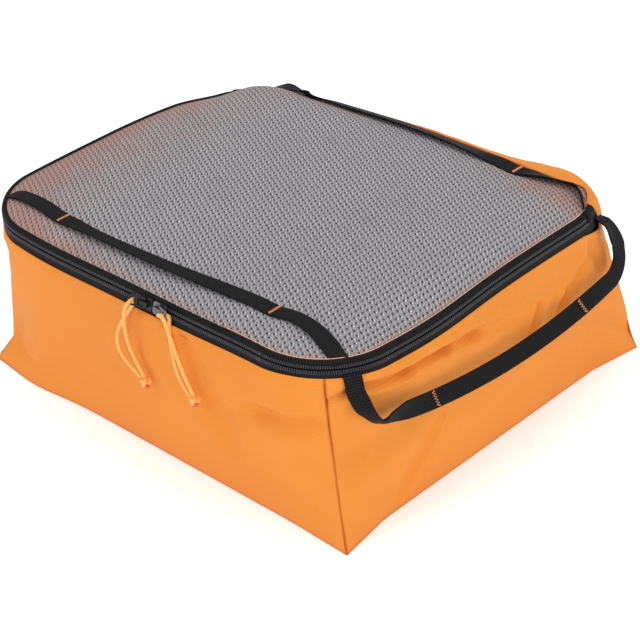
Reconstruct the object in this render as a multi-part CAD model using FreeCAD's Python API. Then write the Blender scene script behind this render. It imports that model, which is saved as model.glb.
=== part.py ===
"""Packing cube: soft fabric box with a zipped mesh lid, webbing straps, a side handle and two cord pulls.

Frame: the origin is the centre of the base, on the floor. +X runs along the front to the right,
+Y runs to the back, where the lid folds, and +Z is up. Units are millimetres.
"""
import FreeCAD, Part
import math
import os
from collections import namedtuple

V = FreeCAD.Vector
Outline = namedtuple("Outline", "half_width front back front_radius back_radius")

# --- driving dimensions -------------------------------------------------------------------
BASE_WIDTH = 350.0            # along X, at the floor
BASE_DEPTH = 312.0            # along Y, at the floor
FABRIC = 0.8                  # coated nylon
CORNER_SHARE = 0.14           # share of a wall's lower edge that rises into a rounded corner
WALL_TOP_Z = 121.5            # where the walls end and the lower zipper tape begins
RIM = Outline(177.5, -171.5, 141.4, 58.0, 60.0)   # rounded rim of the box at height BAND_Z

BAND_Z = 120.0                # height from which the zipper band is measured
BAND_TILT = 15.0              # the band leans inwards from the vertical
TAPE = 0.7                    # zipper tape thickness
COIL_WIDTH = 1.9              # lower row of teeth, across the chain
UPPER_COIL_WIDTH = 1.1        # upper row: the piping leaves less room for it
COIL_DEPTH = 2.0              # one row of teeth, inwards from the tape
CHAIN_S = 14.5                # middle of the chain, up the band from BAND_Z
CHAIN_GAP = 1.6               # between the two rows of teeth
TAPE_TOP_S = 17.0             # upper tape ends under the piping
PIPING_S, PIPING_N, PIPING_R = 18.4, -1.9, 1.8
FOLD_Y = 94.0                 # the lid folds along this line
FOLD_GAP = 0.3                # half of the cut between the lid and the part that stays
ZIP_END_Y = 107.5             # both zipper ends stop here
END_TAB_RAISE = 0.8           # the tab over a zipper end stands this far off the tape
TAPE_CLEARANCE = 0.2          # tape to the wall's edge, and end tab to the chain
REAR_TOP_Y = ZIP_END_Y + 1.0  # the back panel wraps over the rim from here on

MESH = 1.0                    # lid mesh thickness
MESH_EDGE_Z = 140.6           # top of the mesh at its edge
MESH_SHOULDER_Z = 143.2       # top of the mesh a hand's width in
MESH_CROWN_Z = 146.0          # top of the mesh in the middle
MESH_CLEARANCE = 0.05         # between the mesh and the piping
SHOULDER = Outline(142.0, -136.0, 92.0, 36.0, 36.0)
CROWN = Outline(84.0, -84.0, 44.0, 24.0, 24.0)
SEAM_ALLOWANCE = 7.0          # bound seam allowances inside the box
BINDING = 1.2                 # thickness of a bound seam allowance
BINDING_SPAN = (0.04, 0.96)   # shares of the corner height between which a binding runs
BINDING_INSET = 0.4           # rear binding to the edge of the mesh

WEBBING = 12.0                # strap width
WEBBING_T = 1.2               # strap thickness
FRONT_STRAP_Y = -139.0
REAR_STRAP_Y = 108.0
STRAP_HALF_LENGTH = 152.0
REAR_STRAP_HALF_LENGTH = 140.0
BARTACK_X = 99.0              # bartacks stand this far either side of the middle
BARTACK_W, BARTACK_T = 2.2, 0.5
BARTACK_MARGIN = 1.0          # from a bartack's ends to the webbing's edges

HANDLE_T = 1.6
HANDLE_AXIS_X, HANDLE_AXIS_Z = 180.5, 117.0       # fold line at both ends of the handle
HANDLE_TILT = 16.0            # the handle hangs out from the wall by this angle
HANDLE_END_GAP = 0.6          # from the fold line to the loose webbing
HANDLE_ROUTE = [(-146.5, 0.0), (-142.0, 8.7), (-133.0, 18.7), (-116.0, 24.0), (-83.0, 29.8), (-42.0, 37.9),
                (0.0, 41.1), (40.0, 42.3), (68.0, 31.3), (89.0, 26.8), (111.0, 19.2), (119.6, 10.2),
                (117.0, 0.0)]                     # Y, and the distance down from the fold line
HANDLE_TACKS = [(-83.0, 29.8, -10.0), (68.0, 31.3, 14.0)]   # Y, drop and slope in degrees
ANCHOR_Y = {"front": (-140.0, -146.5), "back": (113.0, 117.0)}   # at the wall, and at the fold line
ANCHOR_DROP = 2.4             # the sewn ends leave the wall this far below its top edge
ANCHOR_REACH = 1.5            # the sewn ends stop this far short of the fold line

SLIDER_X = {"left": 17.0, "right": 30.0}
SLIDER_LENGTH, SLIDER_HALF_WIDTH = 12.0, 4.3
PLATE_CORNER = 1.6            # corner radius of the outer plate
TOP_PLATE_N = (1.4, 2.4)      # distance of the slider's outer plate from the tape
BOTTOM_PLATE_N = (-4.1, -3.1)
BOTTOM_PLATE_TOP = 1.9        # the inner plate ends this far above the chain, under the piping
FLANGE, FLANGE_T = 1.1, 1.0   # lower edge of the outer plate, bent towards the tape
POST_LENGTH, POST_THICK = 3.0, 0.8
BRIDGE_REACH, BRIDGE_FOOT, BRIDGE_HALF_WIDTH = 3.4, 1.0, 1.6
BRIDGE_TOP_N = (4.3, 5.1)

PIVOT_N, PIVOT_R = 3.35, 0.6  # bar on which a pull tab turns
TAB_TILT = 20.0               # the tab rests this far off the chain
TAB_T = 1.2
TAB_HALF_WIDTH, TAB_ARM = 3.7, 1.2
TAB_CORNER = 2.2
TAB_WINDOW_END, TAB_END = 4.9, 12.0
TAB_HOLE_X, TAB_HOLE_R, TAB_HOLE_SLOT = 9.0, 1.6, 1.4
CORD_D = 2.6
KNOT_R, KNOT_STRETCH = 3.5, 1.25

# Each pull is a loop of cord: a front leg and a rear leg that meet in the tab's hole.
CORD_ROUTES = {
    ("left", "front"): [
        (9.4, -180.2, 134.6), (8.0, -181.2, 130.2), (5.4, -180.2, 121.0), (3.6, -178.4, 109.4),
        (4.2, -176.8, 97.4), (8.6, -175.6, 87.0), (13.6, -174.8, 77.6)],
    ("left", "rear"): [
        (6.4, -170.5, 131.2), (3.6, -171.8, 126.0), (-1.6, -174.0, 117.4), (-7.2, -175.2, 107.6),
        (-9.8, -175.6, 97.0), (-7.2, -175.4, 87.4), (0.6, -174.8, 80.6), (10.2, -174.4, 75.4)],
    ("right", "front"): [
        (39.6, -179.6, 139.4), (43.6, -179.8, 139.4), (46.4, -179.6, 135.6), (47.4, -179.0, 129.6),
        (49.0, -178.2, 121.6), (51.2, -177.4, 112.6), (53.8, -176.6, 103.2), (57.4, -175.8, 93.4),
        (61.6, -175.0, 84.6)],
    ("right", "rear"): [
        (39.6, -170.5, 131.2), (39.8, -171.8, 125.6), (42.2, -173.6, 117.0), (45.2, -175.0, 106.6),
        (48.0, -175.4, 96.6), (52.2, -175.0, 88.2), (58.0, -174.6, 82.0)],
}
CORD_LEAD = {"front": 3.6, "rear": -3.2}   # straight run out of the slot, away from the bag or towards it
KNOT_CENTRE = {"left": (14.2, -174.6, 73.6), "right": (62.0, -174.8, 80.6)}
KNOT_AXIS = (0.45, 0.0, -0.9)
CORD_BEND = 0.45              # share of the shorter run that a bend may use

BIG = 600.0                   # larger than the whole object, for cutting
TILT_SIN = math.sin(math.radians(BAND_TILT))
TILT_COS = math.cos(math.radians(BAND_TILT))


# --- plan outlines ------------------------------------------------------------------------
def inset(outline, distance):
    """The same outline, moved inwards by distance, with its corner centres kept."""
    return Outline(outline.half_width - distance, outline.front + distance, outline.back - distance,
                   outline.front_radius - distance, outline.back_radius - distance)


def corner(outline, side, end):
    """Centre and radius of one rounded corner; side is -1 left or 1 right."""
    radius = outline.front_radius if end == "front" else outline.back_radius
    y = outline.front + radius if end == "front" else outline.back - radius
    return side * (outline.half_width - radius), y, radius


def on_corner(outline, side, end, degrees, z):
    x, y, radius = corner(outline, side, end)
    angle = math.radians(degrees)
    return V(x + radius * math.cos(angle), y + radius * math.sin(angle), z)


def corner_arc(outline, side, end, start, stop, z):
    points = [on_corner(outline, side, end, degrees, z) for degrees in (start, (start + stop) / 2, stop)]
    return Part.Arc(*points).toShape()


def line(start, end):
    return Part.LineSegment(start, end).toShape()


def closed_edges(outline, z):
    """Eight edges, anticlockwise from the start of the front right corner."""
    corners = [(1, "front", -90), (1, "back", 0), (-1, "back", 90), (-1, "front", 180)]
    edges = []
    for index, (side, end, start) in enumerate(corners):
        edges.append(corner_arc(outline, side, end, start, start + 90, z))
        next_side, next_end, next_start = corners[(index + 1) % 4]
        edges.append(line(on_corner(outline, side, end, start + 90, z),
                          on_corner(outline, next_side, next_end, next_start, z)))
    return edges


def polygon(corners):
    """Straight edges round a closed list of corners."""
    return [line(a, b) for a, b in zip(corners, corners[1:] + corners[:1])]


def loft(lower, upper):
    """Solid between two plan wires of the same edge count, by straight rulings."""
    faces = [Part.makeRuledSurface(low, high) for low, high in zip(lower, upper)]
    faces += [Part.Face(Part.Wire(lower)), Part.Face(Part.Wire(upper))]
    shell = Part.makeShell(faces)
    shell.sewShape()
    solid = Part.makeSolid(shell)
    if solid.Volume < 0:
        solid.reverse()
    return solid


def slab(x_range, y_range, z_range):
    low = V(x_range[0], y_range[0], z_range[0])
    return Part.makeBox(x_range[1] - x_range[0], y_range[1] - y_range[0], z_range[1] - z_range[0], low)


def behind(y):
    return slab((-BIG, BIG), (y, BIG), (-BIG, BIG))


def in_front_of(y):
    return slab((-BIG, BIG), (-BIG, y), (-BIG, BIG))


# --- fabric box ---------------------------------------------------------------------------
def wall_edges(side_a, end_a, start_a, side_b, end_b, start_b, outline, z):
    """Top edge of one wall: half a corner, the straight, half a corner."""
    first = corner_arc(outline, side_a, end_a, start_a, start_a + 45, z)
    last = corner_arc(outline, side_b, end_b, start_b, start_b + 45, z)
    return [first, line(first.lastVertex().Point, last.firstVertex().Point), last]


def split_line(start, end, shares):
    points = [start] + [start + (end - start) * share for share in shares] + [end]
    return [line(a, b) for a, b in zip(points, points[1:])]


def reverse_edges(edges):
    turned = []
    for edge in reversed(edges):
        first, last = edge.FirstParameter, edge.LastParameter
        points = [edge.valueAt(value) for value in (last, (first + last) / 2, first)]
        straight = isinstance(edge.Curve, Part.Line)
        turned.append(line(points[0], points[2]) if straight else Part.Arc(*points).toShape())
    return turned


def ring_part(outer, inner):
    """Closed list of edges round a strip between an outer and an inner line."""
    start = line(inner[0].valueAt(inner[0].FirstParameter), outer[0].valueAt(outer[0].FirstParameter))
    end = line(outer[-1].valueAt(outer[-1].LastParameter), inner[-1].valueAt(inner[-1].LastParameter))
    return [start] + outer + [end] + reverse_edges(inner)


WALLS = {
    "front_panel": ((-1, "front", 225), (1, "front", 270)),
    "right_panel": ((1, "front", 315), (1, "back", 0)),
    "back_panel": ((1, "back", 45), (-1, "back", 90)),
    "left_panel": ((-1, "back", 135), (-1, "front", 180)),
}


def base_corner(side, end, inward=0.0, z=FABRIC):
    y = (BASE_DEPTH / 2 - inward) * (1 if end == "back" else -1)
    return V(side * (BASE_WIDTH / 2 - inward), y, z)


def rim_at(z, inward=0.0):
    return inset(RIM, (z - BAND_Z) / TILT_COS * TILT_SIN + inward)


def wall(name):
    (side_a, end_a, start_a), (side_b, end_b, start_b) = WALLS[name]
    lower, upper = [], []
    for inward in (0.0, FABRIC):
        upper.append(wall_edges(side_a, end_a, start_a, side_b, end_b, start_b,
                                rim_at(WALL_TOP_Z, inward), WALL_TOP_Z))
        lower.append(split_line(base_corner(side_a, end_a, inward), base_corner(side_b, end_b, inward),
                                (CORNER_SHARE, 1 - CORNER_SHARE)))
    return loft(ring_part(*lower), ring_part(*upper))


def mesh_outline():
    """The mesh starts where the piping ends."""
    piping_inset = (PIPING_S * TILT_SIN - PIPING_N * TILT_COS) + PIPING_R
    return inset(RIM, piping_inset + MESH_CLEARANCE)


def rear_top():
    """Back panel's upper part: it folds forward over the rim to the edge of the mesh."""
    edge = mesh_outline()
    shapes = []
    for wall_inset, edge_inset in ((0.0, -FABRIC), (FABRIC, 0.0)):
        shapes.append(loft(closed_edges(rim_at(WALL_TOP_Z, wall_inset), WALL_TOP_Z),
                           closed_edges(inset(edge, edge_inset), MESH_EDGE_Z)))
    return shapes[0].cut(shapes[1]).common(behind(REAR_TOP_Y))


def back_panel():
    return wall("back_panel").fuse(rear_top()).removeSplitter()


def base_panel():
    return slab((-BASE_WIDTH / 2, BASE_WIDTH / 2), (-BASE_DEPTH / 2, BASE_DEPTH / 2), (0, FABRIC))


def base_seam_binding():
    """Bound seam allowance that lies on the base panel, round its edge."""
    z_range = (FABRIC, FABRIC + BINDING)
    outer_inset = FABRIC + BINDING
    half_x, half_y = BASE_WIDTH / 2 - outer_inset, BASE_DEPTH / 2 - outer_inset
    outer = slab((-half_x, half_x), (-half_y, half_y), z_range)
    half_x, half_y = half_x - SEAM_ALLOWANCE, half_y - SEAM_ALLOWANCE
    return outer.cut(slab((-half_x, half_x), (-half_y, half_y), z_range))


def corner_seam_binding(side, end):
    """Bound seam allowance that stands inwards along one corner seam."""
    middle = {(1, "front"): -45, (1, "back"): 45, (-1, "back"): 135, (-1, "front"): 225}[(side, end)]
    low = base_corner(side, end, FABRIC)
    high = on_corner(rim_at(WALL_TOP_Z, FABRIC), side, end, middle, WALL_TOP_Z)
    inward = V(-math.cos(math.radians(middle)), -math.sin(math.radians(middle)), 0)
    across = V(-inward.y, inward.x, 0) * (BINDING / 2)
    ends = []
    for share in BINDING_SPAN:
        tip = low + (high - low) * share + inward * BINDING
        root = tip + inward * SEAM_ALLOWANCE
        ends.append(polygon([tip - across, tip + across, root + across, root - across]))
    return loft(*ends)


# --- zipper band --------------------------------------------------------------------------
def band_offset(s, n):
    """Outward plan distance from RIM and height of a point s up the band and n off its face."""
    return n * TILT_COS - s * TILT_SIN, BAND_Z + s * TILT_COS + n * TILT_SIN


def rear_angle(outline, y):
    _, centre_y, radius = corner(outline, 1, "back")
    return math.degrees(math.asin((y - centre_y) / radius))


def band_path(y_end):
    """Path along the rim, from the rear right round the front to the rear left."""
    angle = rear_angle(RIM, y_end)
    edges = [corner_arc(RIM, 1, "back", angle, 0, BAND_Z),
             line(on_corner(RIM, 1, "back", 0, BAND_Z), on_corner(RIM, 1, "front", 0, BAND_Z)),
             corner_arc(RIM, 1, "front", 0, -90, BAND_Z),
             line(on_corner(RIM, 1, "front", -90, BAND_Z), on_corner(RIM, -1, "front", -90, BAND_Z)),
             corner_arc(RIM, -1, "front", 270, 180, BAND_Z),
             line(on_corner(RIM, -1, "front", 180, BAND_Z), on_corner(RIM, -1, "back", 180, BAND_Z)),
             corner_arc(RIM, -1, "back", 180, 180 - angle, BAND_Z)]
    return Part.Wire(edges), angle


def band_point(s, n, angle):
    outward, z = band_offset(s, n)
    x, y, radius = corner(RIM, 1, "back")
    reach = radius + outward
    return V(x + reach * math.cos(math.radians(angle)), y + reach * math.sin(math.radians(angle)), z)


def sweep_band(section, y_end):
    """Sweep a section, given as (s, n) corners, along the zipped edge, and trim it square at y_end."""
    path, angle = band_path(y_end + 2.0)
    profile = Part.Wire(polygon([band_point(s, n, angle) for s, n in section]))
    return path.makePipeShell([profile], True, True).common(in_front_of(y_end))


def rectangle(s_low, s_high, n_low, n_high):
    return [(s_low, n_low), (s_high, n_low), (s_high, n_high), (s_low, n_high)]


def band_s(z):
    return (z - BAND_Z) / TILT_COS


def zipper_tape_lower():
    section = rectangle(band_s(WALL_TOP_Z) + TAPE_CLEARANCE, CHAIN_S - CHAIN_GAP / 2, -TAPE, 0)
    return sweep_band(section, ZIP_END_Y)


def zipper_coil_lower():
    top = CHAIN_S - CHAIN_GAP / 2
    return sweep_band(rectangle(top - COIL_WIDTH, top, -TAPE - COIL_DEPTH, -TAPE), ZIP_END_Y)


def zipper_tape_upper():
    return sweep_band(rectangle(CHAIN_S + CHAIN_GAP / 2, TAPE_TOP_S, -TAPE, 0), FOLD_Y - FOLD_GAP)


def zipper_coil_upper():
    low = CHAIN_S + CHAIN_GAP / 2
    return sweep_band(rectangle(low, low + UPPER_COIL_WIDTH, -TAPE - COIL_DEPTH, -TAPE), FOLD_Y - FOLD_GAP)


def lid_piping():
    path, angle = band_path(FOLD_Y + 2.0)
    centre = band_point(PIPING_S, PIPING_N, angle)
    tangent = V(math.sin(math.radians(angle)), -math.cos(math.radians(angle)), 0)
    profile = Part.Wire(Part.Circle(centre, tangent, PIPING_R).toShape())
    return path.makePipeShell([profile], True, True).common(in_front_of(FOLD_Y - FOLD_GAP))


def zipper_end_tab(side):
    """Fabric tab that closes one end of the zipper, behind the fold."""
    low = CHAIN_S - CHAIN_GAP / 2 + TAPE_CLEARANCE
    section = rectangle(low, PIPING_S + PIPING_R, PIPING_N - PIPING_R, END_TAB_RAISE)
    both = sweep_band(section, ZIP_END_Y).common(behind(FOLD_Y + FOLD_GAP))
    x_range = (0, BIG) if side > 0 else (-BIG, 0)
    return both.common(slab(x_range, (-BIG, BIG), (-BIG, BIG)))


# --- lid ----------------------------------------------------------------------------------
def crown(lift, outline):
    """Solid under the crowned lid, its top raised by lift."""
    levels = [(outline, MESH_EDGE_Z), (SHOULDER, MESH_SHOULDER_Z), (CROWN, MESH_CROWN_Z)]
    floor_z = MESH_EDGE_Z - 4 * MESH
    solid = loft(closed_edges(outline, floor_z), closed_edges(outline, MESH_EDGE_Z + lift))
    for (lower, low_z), (upper, high_z) in zip(levels, levels[1:]):
        solid = solid.fuse(loft(closed_edges(lower, low_z + lift), closed_edges(upper, high_z + lift)))
    return solid


def layer(low, high):
    """The sheet between two lifts of the crowned lid."""
    outline = mesh_outline()
    return crown(high, outline).cut(crown(low, outline))


def lid_mesh():
    return layer(-MESH, 0).common(in_front_of(FOLD_Y - FOLD_GAP))


def rear_mesh_strip():
    return layer(-MESH, 0).common(behind(FOLD_Y + FOLD_GAP))


def rear_seam_binding():
    """Bound seam allowance under the mesh, along its sewn rear edge."""
    edge = mesh_outline()
    low, high = MESH_EDGE_Z - 3 * MESH, MESH_EDGE_Z + MESH
    rim, hole = inset(edge, BINDING_INSET), inset(edge, SEAM_ALLOWANCE)
    ring = loft(closed_edges(rim, low), closed_edges(rim, high))
    ring = ring.cut(loft(closed_edges(hole, low), closed_edges(hole, high)))
    return layer(-MESH - BINDING, -MESH).common(ring).common(behind(REAR_TOP_Y))


def strap(y, half_length):
    plan = slab((-half_length, half_length), (y - WEBBING / 2, y + WEBBING / 2), (0, BIG))
    return layer(0, WEBBING_T).common(plan)


def strap_bartacks(y):
    reach = WEBBING / 2 - BARTACK_MARGIN
    plans = [slab((side * BARTACK_X - BARTACK_W / 2, side * BARTACK_X + BARTACK_W / 2),
                  (y - reach, y + reach), (0, BIG)) for side in (-1, 1)]
    top = layer(WEBBING_T, WEBBING_T + BARTACK_T)
    return Part.makeCompound([top.common(plan) for plan in plans])


# --- side handle --------------------------------------------------------------------------
def offset_route(route, distance):
    """Points at a distance to one side of a route of straight runs."""
    moved = []
    for index, (y, drop) in enumerate(route):
        before = route[max(index - 1, 0)]
        after = route[min(index + 1, len(route) - 1)]
        run = V(after[0] - before[0], after[1] - before[1], 0)
        run.normalize()
        moved.append((y + run.y * distance, drop - run.x * distance))
    return moved


def place_handle(shape):
    """Turn a shape drawn flat, as X off the handle, Y and -Z down, into the hanging handle's plane."""
    shape.rotate(V(0, 0, 0), V(0, 1, 0), -HANDLE_TILT)
    shape.translate(V(HANDLE_AXIS_X, 0, HANDLE_AXIS_Z))
    return shape


def side_handle():
    upper = offset_route(HANDLE_ROUTE, WEBBING / 2)
    lower = offset_route(HANDLE_ROUTE, -WEBBING / 2)
    face = Part.Face(Part.Wire(polygon([V(0, y, -drop) for y, drop in upper + lower[::-1]])))
    band = face.extrude(V(HANDLE_T, 0, 0))
    band.translate(V(-HANDLE_T / 2, 0, 0))
    below = slab((-BIG, BIG), (-BIG, BIG), (-BIG, -HANDLE_END_GAP))
    return place_handle(band.common(below))


def side_handle_bartacks():
    tacks, reach = [], WEBBING / 2 - BARTACK_MARGIN
    x_range = (HANDLE_T / 2, HANDLE_T / 2 + BARTACK_T)
    for y, drop, slope in HANDLE_TACKS:
        tack = slab(x_range, (-BARTACK_W / 2, BARTACK_W / 2), (-reach, reach))
        tack.rotate(V(0, 0, 0), V(1, 0, 0), slope)
        tack.translate(V(0, y, -drop))
        tacks.append(place_handle(tack))
    return Part.makeCompound(tacks)


def handle_anchor(end):
    """Sewn end of the handle, from under the zipper tape to the fold line."""
    y_wall, y_fold = ANCHOR_Y[end]
    rim_x, rim_y, radius = corner(rim_at(WALL_TOP_Z), 1, end)
    wall_x = rim_x + math.sqrt(radius ** 2 - (y_wall - rim_y) ** 2)
    stations = ((wall_x - FABRIC, y_wall, WALL_TOP_Z - ANCHOR_DROP),
                (HANDLE_AXIS_X - ANCHOR_REACH, y_fold, HANDLE_AXIS_Z))
    along, ends = V(0, WEBBING / 2, 0), []
    for x, y, z in stations:
        low, high = V(x, y, z - HANDLE_T / 2), V(x, y, z + HANDLE_T / 2)
        ends.append(polygon([low - along, low + along, high + along, high - along]))
    return loft(*ends)


# --- sliders and pulls --------------------------------------------------------------------
def place_on_front(shape, x):
    """Local X along the zipper, Y off the tape and Z up the band, moved to the chain at x."""
    shape.rotate(V(0, 0, 0), V(0, 0, 1), 180)
    shape.rotate(V(0, 0, 0), V(1, 0, 0), -BAND_TILT)
    outward, z = band_offset(CHAIN_S, 0)
    shape.translate(V(x, RIM.front - outward, z))
    return shape


def slider(side):
    half = SLIDER_LENGTH / 2
    top = slab((-half, half), TOP_PLATE_N, (-SLIDER_HALF_WIDTH, SLIDER_HALF_WIDTH))
    top = top.makeFillet(PLATE_CORNER, [edge for edge in top.Edges if is_along(edge, 1)])
    flange = slab((-half + PLATE_CORNER, half - PLATE_CORNER), (TOP_PLATE_N[0] - FLANGE, TOP_PLATE_N[0]),
                  (-SLIDER_HALF_WIDTH, -SLIDER_HALF_WIDTH + FLANGE_T))
    bottom = slab((-half, half), BOTTOM_PLATE_N, (-SLIDER_HALF_WIDTH, BOTTOM_PLATE_TOP))
    post = slab((-POST_LENGTH / 2, POST_LENGTH / 2), (BOTTOM_PLATE_N[1], TOP_PLATE_N[0]),
                (-POST_THICK / 2, POST_THICK / 2))
    solid = top.fuse([flange, bottom, post, bridge()]).removeSplitter()
    return place_on_front(solid, SLIDER_X[side])


def bridge():
    """Arch on the outer plate that holds the pull tab's bar."""
    height = (TOP_PLATE_N[1], BRIDGE_TOP_N[1])
    width = (-BRIDGE_HALF_WIDTH, BRIDGE_HALF_WIDTH)
    arch = slab((-BRIDGE_REACH, BRIDGE_REACH), height, width)
    inner = BRIDGE_REACH - BRIDGE_FOOT
    window = slab((-inner, inner), (height[0], BRIDGE_TOP_N[0]), width)
    return arch.cut(window)


def is_along(edge, axis):
    direction = edge.lastVertex().Point - edge.firstVertex().Point
    direction.normalize()
    return abs(direction[axis]) > 0.99


def pull_tab(side):
    """Flat tab with a bar at one end, turning on the band's up direction, and a slot for the cord."""
    plate = slab((0, TAB_END), (-TAB_T / 2, TAB_T / 2), (-TAB_HALF_WIDTH, TAB_HALF_WIDTH))
    far_edges = [edge for edge in plate.Edges if is_along(edge, 1) and edge.CenterOfMass.x > TAB_END / 2]
    plate = plate.makeFillet(TAB_CORNER, far_edges)
    inner = TAB_HALF_WIDTH - TAB_ARM
    window = slab((-TAB_T, TAB_WINDOW_END), (-TAB_T, TAB_T), (-inner, inner))
    slot = slab((TAB_HOLE_X - TAB_HOLE_R, TAB_HOLE_X + TAB_HOLE_R), (-TAB_T, TAB_T),
                (-TAB_HOLE_SLOT, TAB_HOLE_SLOT))
    for end in (-1, 1):
        start = V(TAB_HOLE_X, -TAB_T, end * TAB_HOLE_SLOT)
        slot = slot.fuse(Part.makeCylinder(TAB_HOLE_R, 2 * TAB_T, start, V(0, 1, 0)))
    bar = Part.makeCylinder(PIVOT_R, 2 * TAB_HALF_WIDTH, V(0, 0, -TAB_HALF_WIDTH), V(0, 0, 1))
    solid = plate.cut(window).cut(slot).fuse(bar).removeSplitter()
    turn = 180 - TAB_TILT if side == "right" else TAB_TILT
    solid.rotate(V(0, 0, 0), V(0, 0, 1), turn)
    solid.translate(V(0, PIVOT_N, 0))
    return place_on_front(solid, SLIDER_X[side])


def tab_hole(side):
    """Centre of a tab's slot and the direction that leads out of it, away from the bag."""
    sign = 1 if side == "right" else -1
    tilt = math.radians(TAB_TILT)
    along, off = TAB_HOLE_X * math.cos(tilt), PIVOT_N + TAB_HOLE_X * math.sin(tilt)
    outward, z = band_offset(CHAIN_S, off)
    centre = V(SLIDER_X[side] + sign * along, RIM.front - outward, z)
    direction = V(-sign * math.sin(tilt), -math.cos(tilt) * TILT_COS, math.cos(tilt) * TILT_SIN)
    return centre, direction


def turn_angle(before, point, after):
    return (point - before).getAngle(after - point)


def cord_path(points):
    """Straight runs joined by tangent arcs, each as large as its two runs allow; also returns the radii."""
    edges, radii, start = [], [], points[0]
    for before, point, after in zip(points, points[1:], points[2:]):
        into, out = point - before, after - point
        reach = CORD_BEND * min(into.Length, out.Length)
        half_turn = turn_angle(before, point, after) / 2
        radius = reach / math.tan(half_turn)
        into.normalize()
        out.normalize()
        first, last = point - into * reach, point + out * reach
        towards = out - into
        towards.normalize()
        middle = point + towards * (radius / math.cos(half_turn) - radius)
        edges += [line(start, first), Part.Arc(first, middle, last).toShape()]
        radii.append(radius)
        start = last
    edges.append(line(start, points[-1]))
    return Part.Wire(edges), radii


def pull_cord(side, leg):
    centre, direction = tab_hole(side)
    route = [V(*point) for point in CORD_ROUTES[(side, leg)]]
    path, radii = cord_path([centre, centre + direction * CORD_LEAD[leg]] + route)
    profile = Part.Wire(Part.Circle(centre, direction, CORD_D / 2).toShape())
    tube = path.makePipeShell([profile], True, True)
    ideal = math.pi * CORD_D ** 2 / 4 * path.Length
    print("pull_cord %s %s: length %.1f, radii %s, volume ratio %.4f" % (
        side, leg, path.Length, [round(radius, 1) for radius in radii], tube.Volume / ideal))
    return tube


def cord_knot(side):
    """Pulled-tight knot, longer along the cord than it is wide."""
    knot = Part.makeSphere(KNOT_R)
    stretch = FreeCAD.Matrix()
    stretch.scale(1, 1, KNOT_STRETCH)
    knot = knot.transformGeometry(stretch)
    turn = FreeCAD.Rotation(V(0, 0, 1), V(*KNOT_AXIS))
    knot.Placement = FreeCAD.Placement(V(*KNOT_CENTRE[side]), turn)
    return knot


# --- export -------------------------------------------------------------------------------
def build():
    parts = {"back_panel": back_panel()}
    for name in ("front_panel", "right_panel", "left_panel"):
        parts[name] = wall(name)
    for side, word in ((-1, "left"), (1, "right")):
        for end in ("front", "back"):
            parts["seam_binding_%s_%s" % (end, word)] = corner_seam_binding(side, end)
        parts["zipper_end_tab_" + word] = zipper_end_tab(side)
    for function in (base_panel, base_seam_binding, zipper_tape_lower, zipper_coil_lower, zipper_tape_upper,
                     zipper_coil_upper, lid_piping, lid_mesh, rear_mesh_strip, rear_seam_binding, side_handle,
                     side_handle_bartacks):
        parts[function.__name__] = function()
    parts["front_strap"] = strap(FRONT_STRAP_Y, STRAP_HALF_LENGTH)
    parts["rear_strap"] = strap(REAR_STRAP_Y, REAR_STRAP_HALF_LENGTH)
    parts["front_strap_bartacks"] = strap_bartacks(FRONT_STRAP_Y)
    parts["rear_strap_bartacks"] = strap_bartacks(REAR_STRAP_Y)
    parts["handle_anchor_front"] = handle_anchor("front")
    parts["handle_anchor_rear"] = handle_anchor("back")
    for side in ("left", "right"):
        parts["slider_" + side] = slider(side)
        parts["pull_tab_" + side] = pull_tab(side)
        parts["cord_knot_" + side] = cord_knot(side)
        for leg in ("front", "rear"):
            parts["pull_cord_%s_%s" % (side, leg)] = pull_cord(side, leg)
    return parts


os.makedirs("parts", exist_ok=True)
for node, shape in build().items():
    shape.exportStep("parts/%s.step" % node)
    box = shape.BoundBox
    print("%-26s valid %s solids %d volume %9.1f  x %.1f..%.1f y %.1f..%.1f z %.1f..%.1f" % (
        node, shape.isValid(), len(shape.Solids), shape.Volume, box.XMin, box.XMax, box.YMin, box.YMax,
        box.ZMin, box.ZMax))
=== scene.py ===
"""Looks of the packing cube: fabric walls, mesh lid, zipper, webbing, side handle, sliders and cord pulls.

All is in the CAD frame, in metres unless a comment says mm: the origin is the centre of the base on the
floor, +X runs along the front to the right, +Y to the back where the lid folds, and +Z is up.
"""
import math
from collections import namedtuple

import bmesh
import bpy
import numpy as np
from mathutils import Matrix, Vector, noise


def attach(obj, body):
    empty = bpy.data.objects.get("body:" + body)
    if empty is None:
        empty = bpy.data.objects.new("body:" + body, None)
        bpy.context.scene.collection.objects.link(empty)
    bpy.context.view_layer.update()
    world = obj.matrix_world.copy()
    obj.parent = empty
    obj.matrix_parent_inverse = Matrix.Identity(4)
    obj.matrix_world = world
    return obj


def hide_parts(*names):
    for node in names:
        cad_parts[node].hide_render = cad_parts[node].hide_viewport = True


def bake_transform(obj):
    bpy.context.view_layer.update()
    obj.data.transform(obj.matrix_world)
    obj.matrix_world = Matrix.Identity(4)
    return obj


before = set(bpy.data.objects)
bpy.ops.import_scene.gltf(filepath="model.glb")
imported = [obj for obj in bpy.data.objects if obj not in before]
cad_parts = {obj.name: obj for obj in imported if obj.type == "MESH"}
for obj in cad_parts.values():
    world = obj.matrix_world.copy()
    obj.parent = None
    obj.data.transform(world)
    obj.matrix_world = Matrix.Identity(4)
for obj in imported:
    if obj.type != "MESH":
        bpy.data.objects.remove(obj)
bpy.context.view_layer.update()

Outline = namedtuple("Outline", "half_width front back front_radius back_radius")

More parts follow.
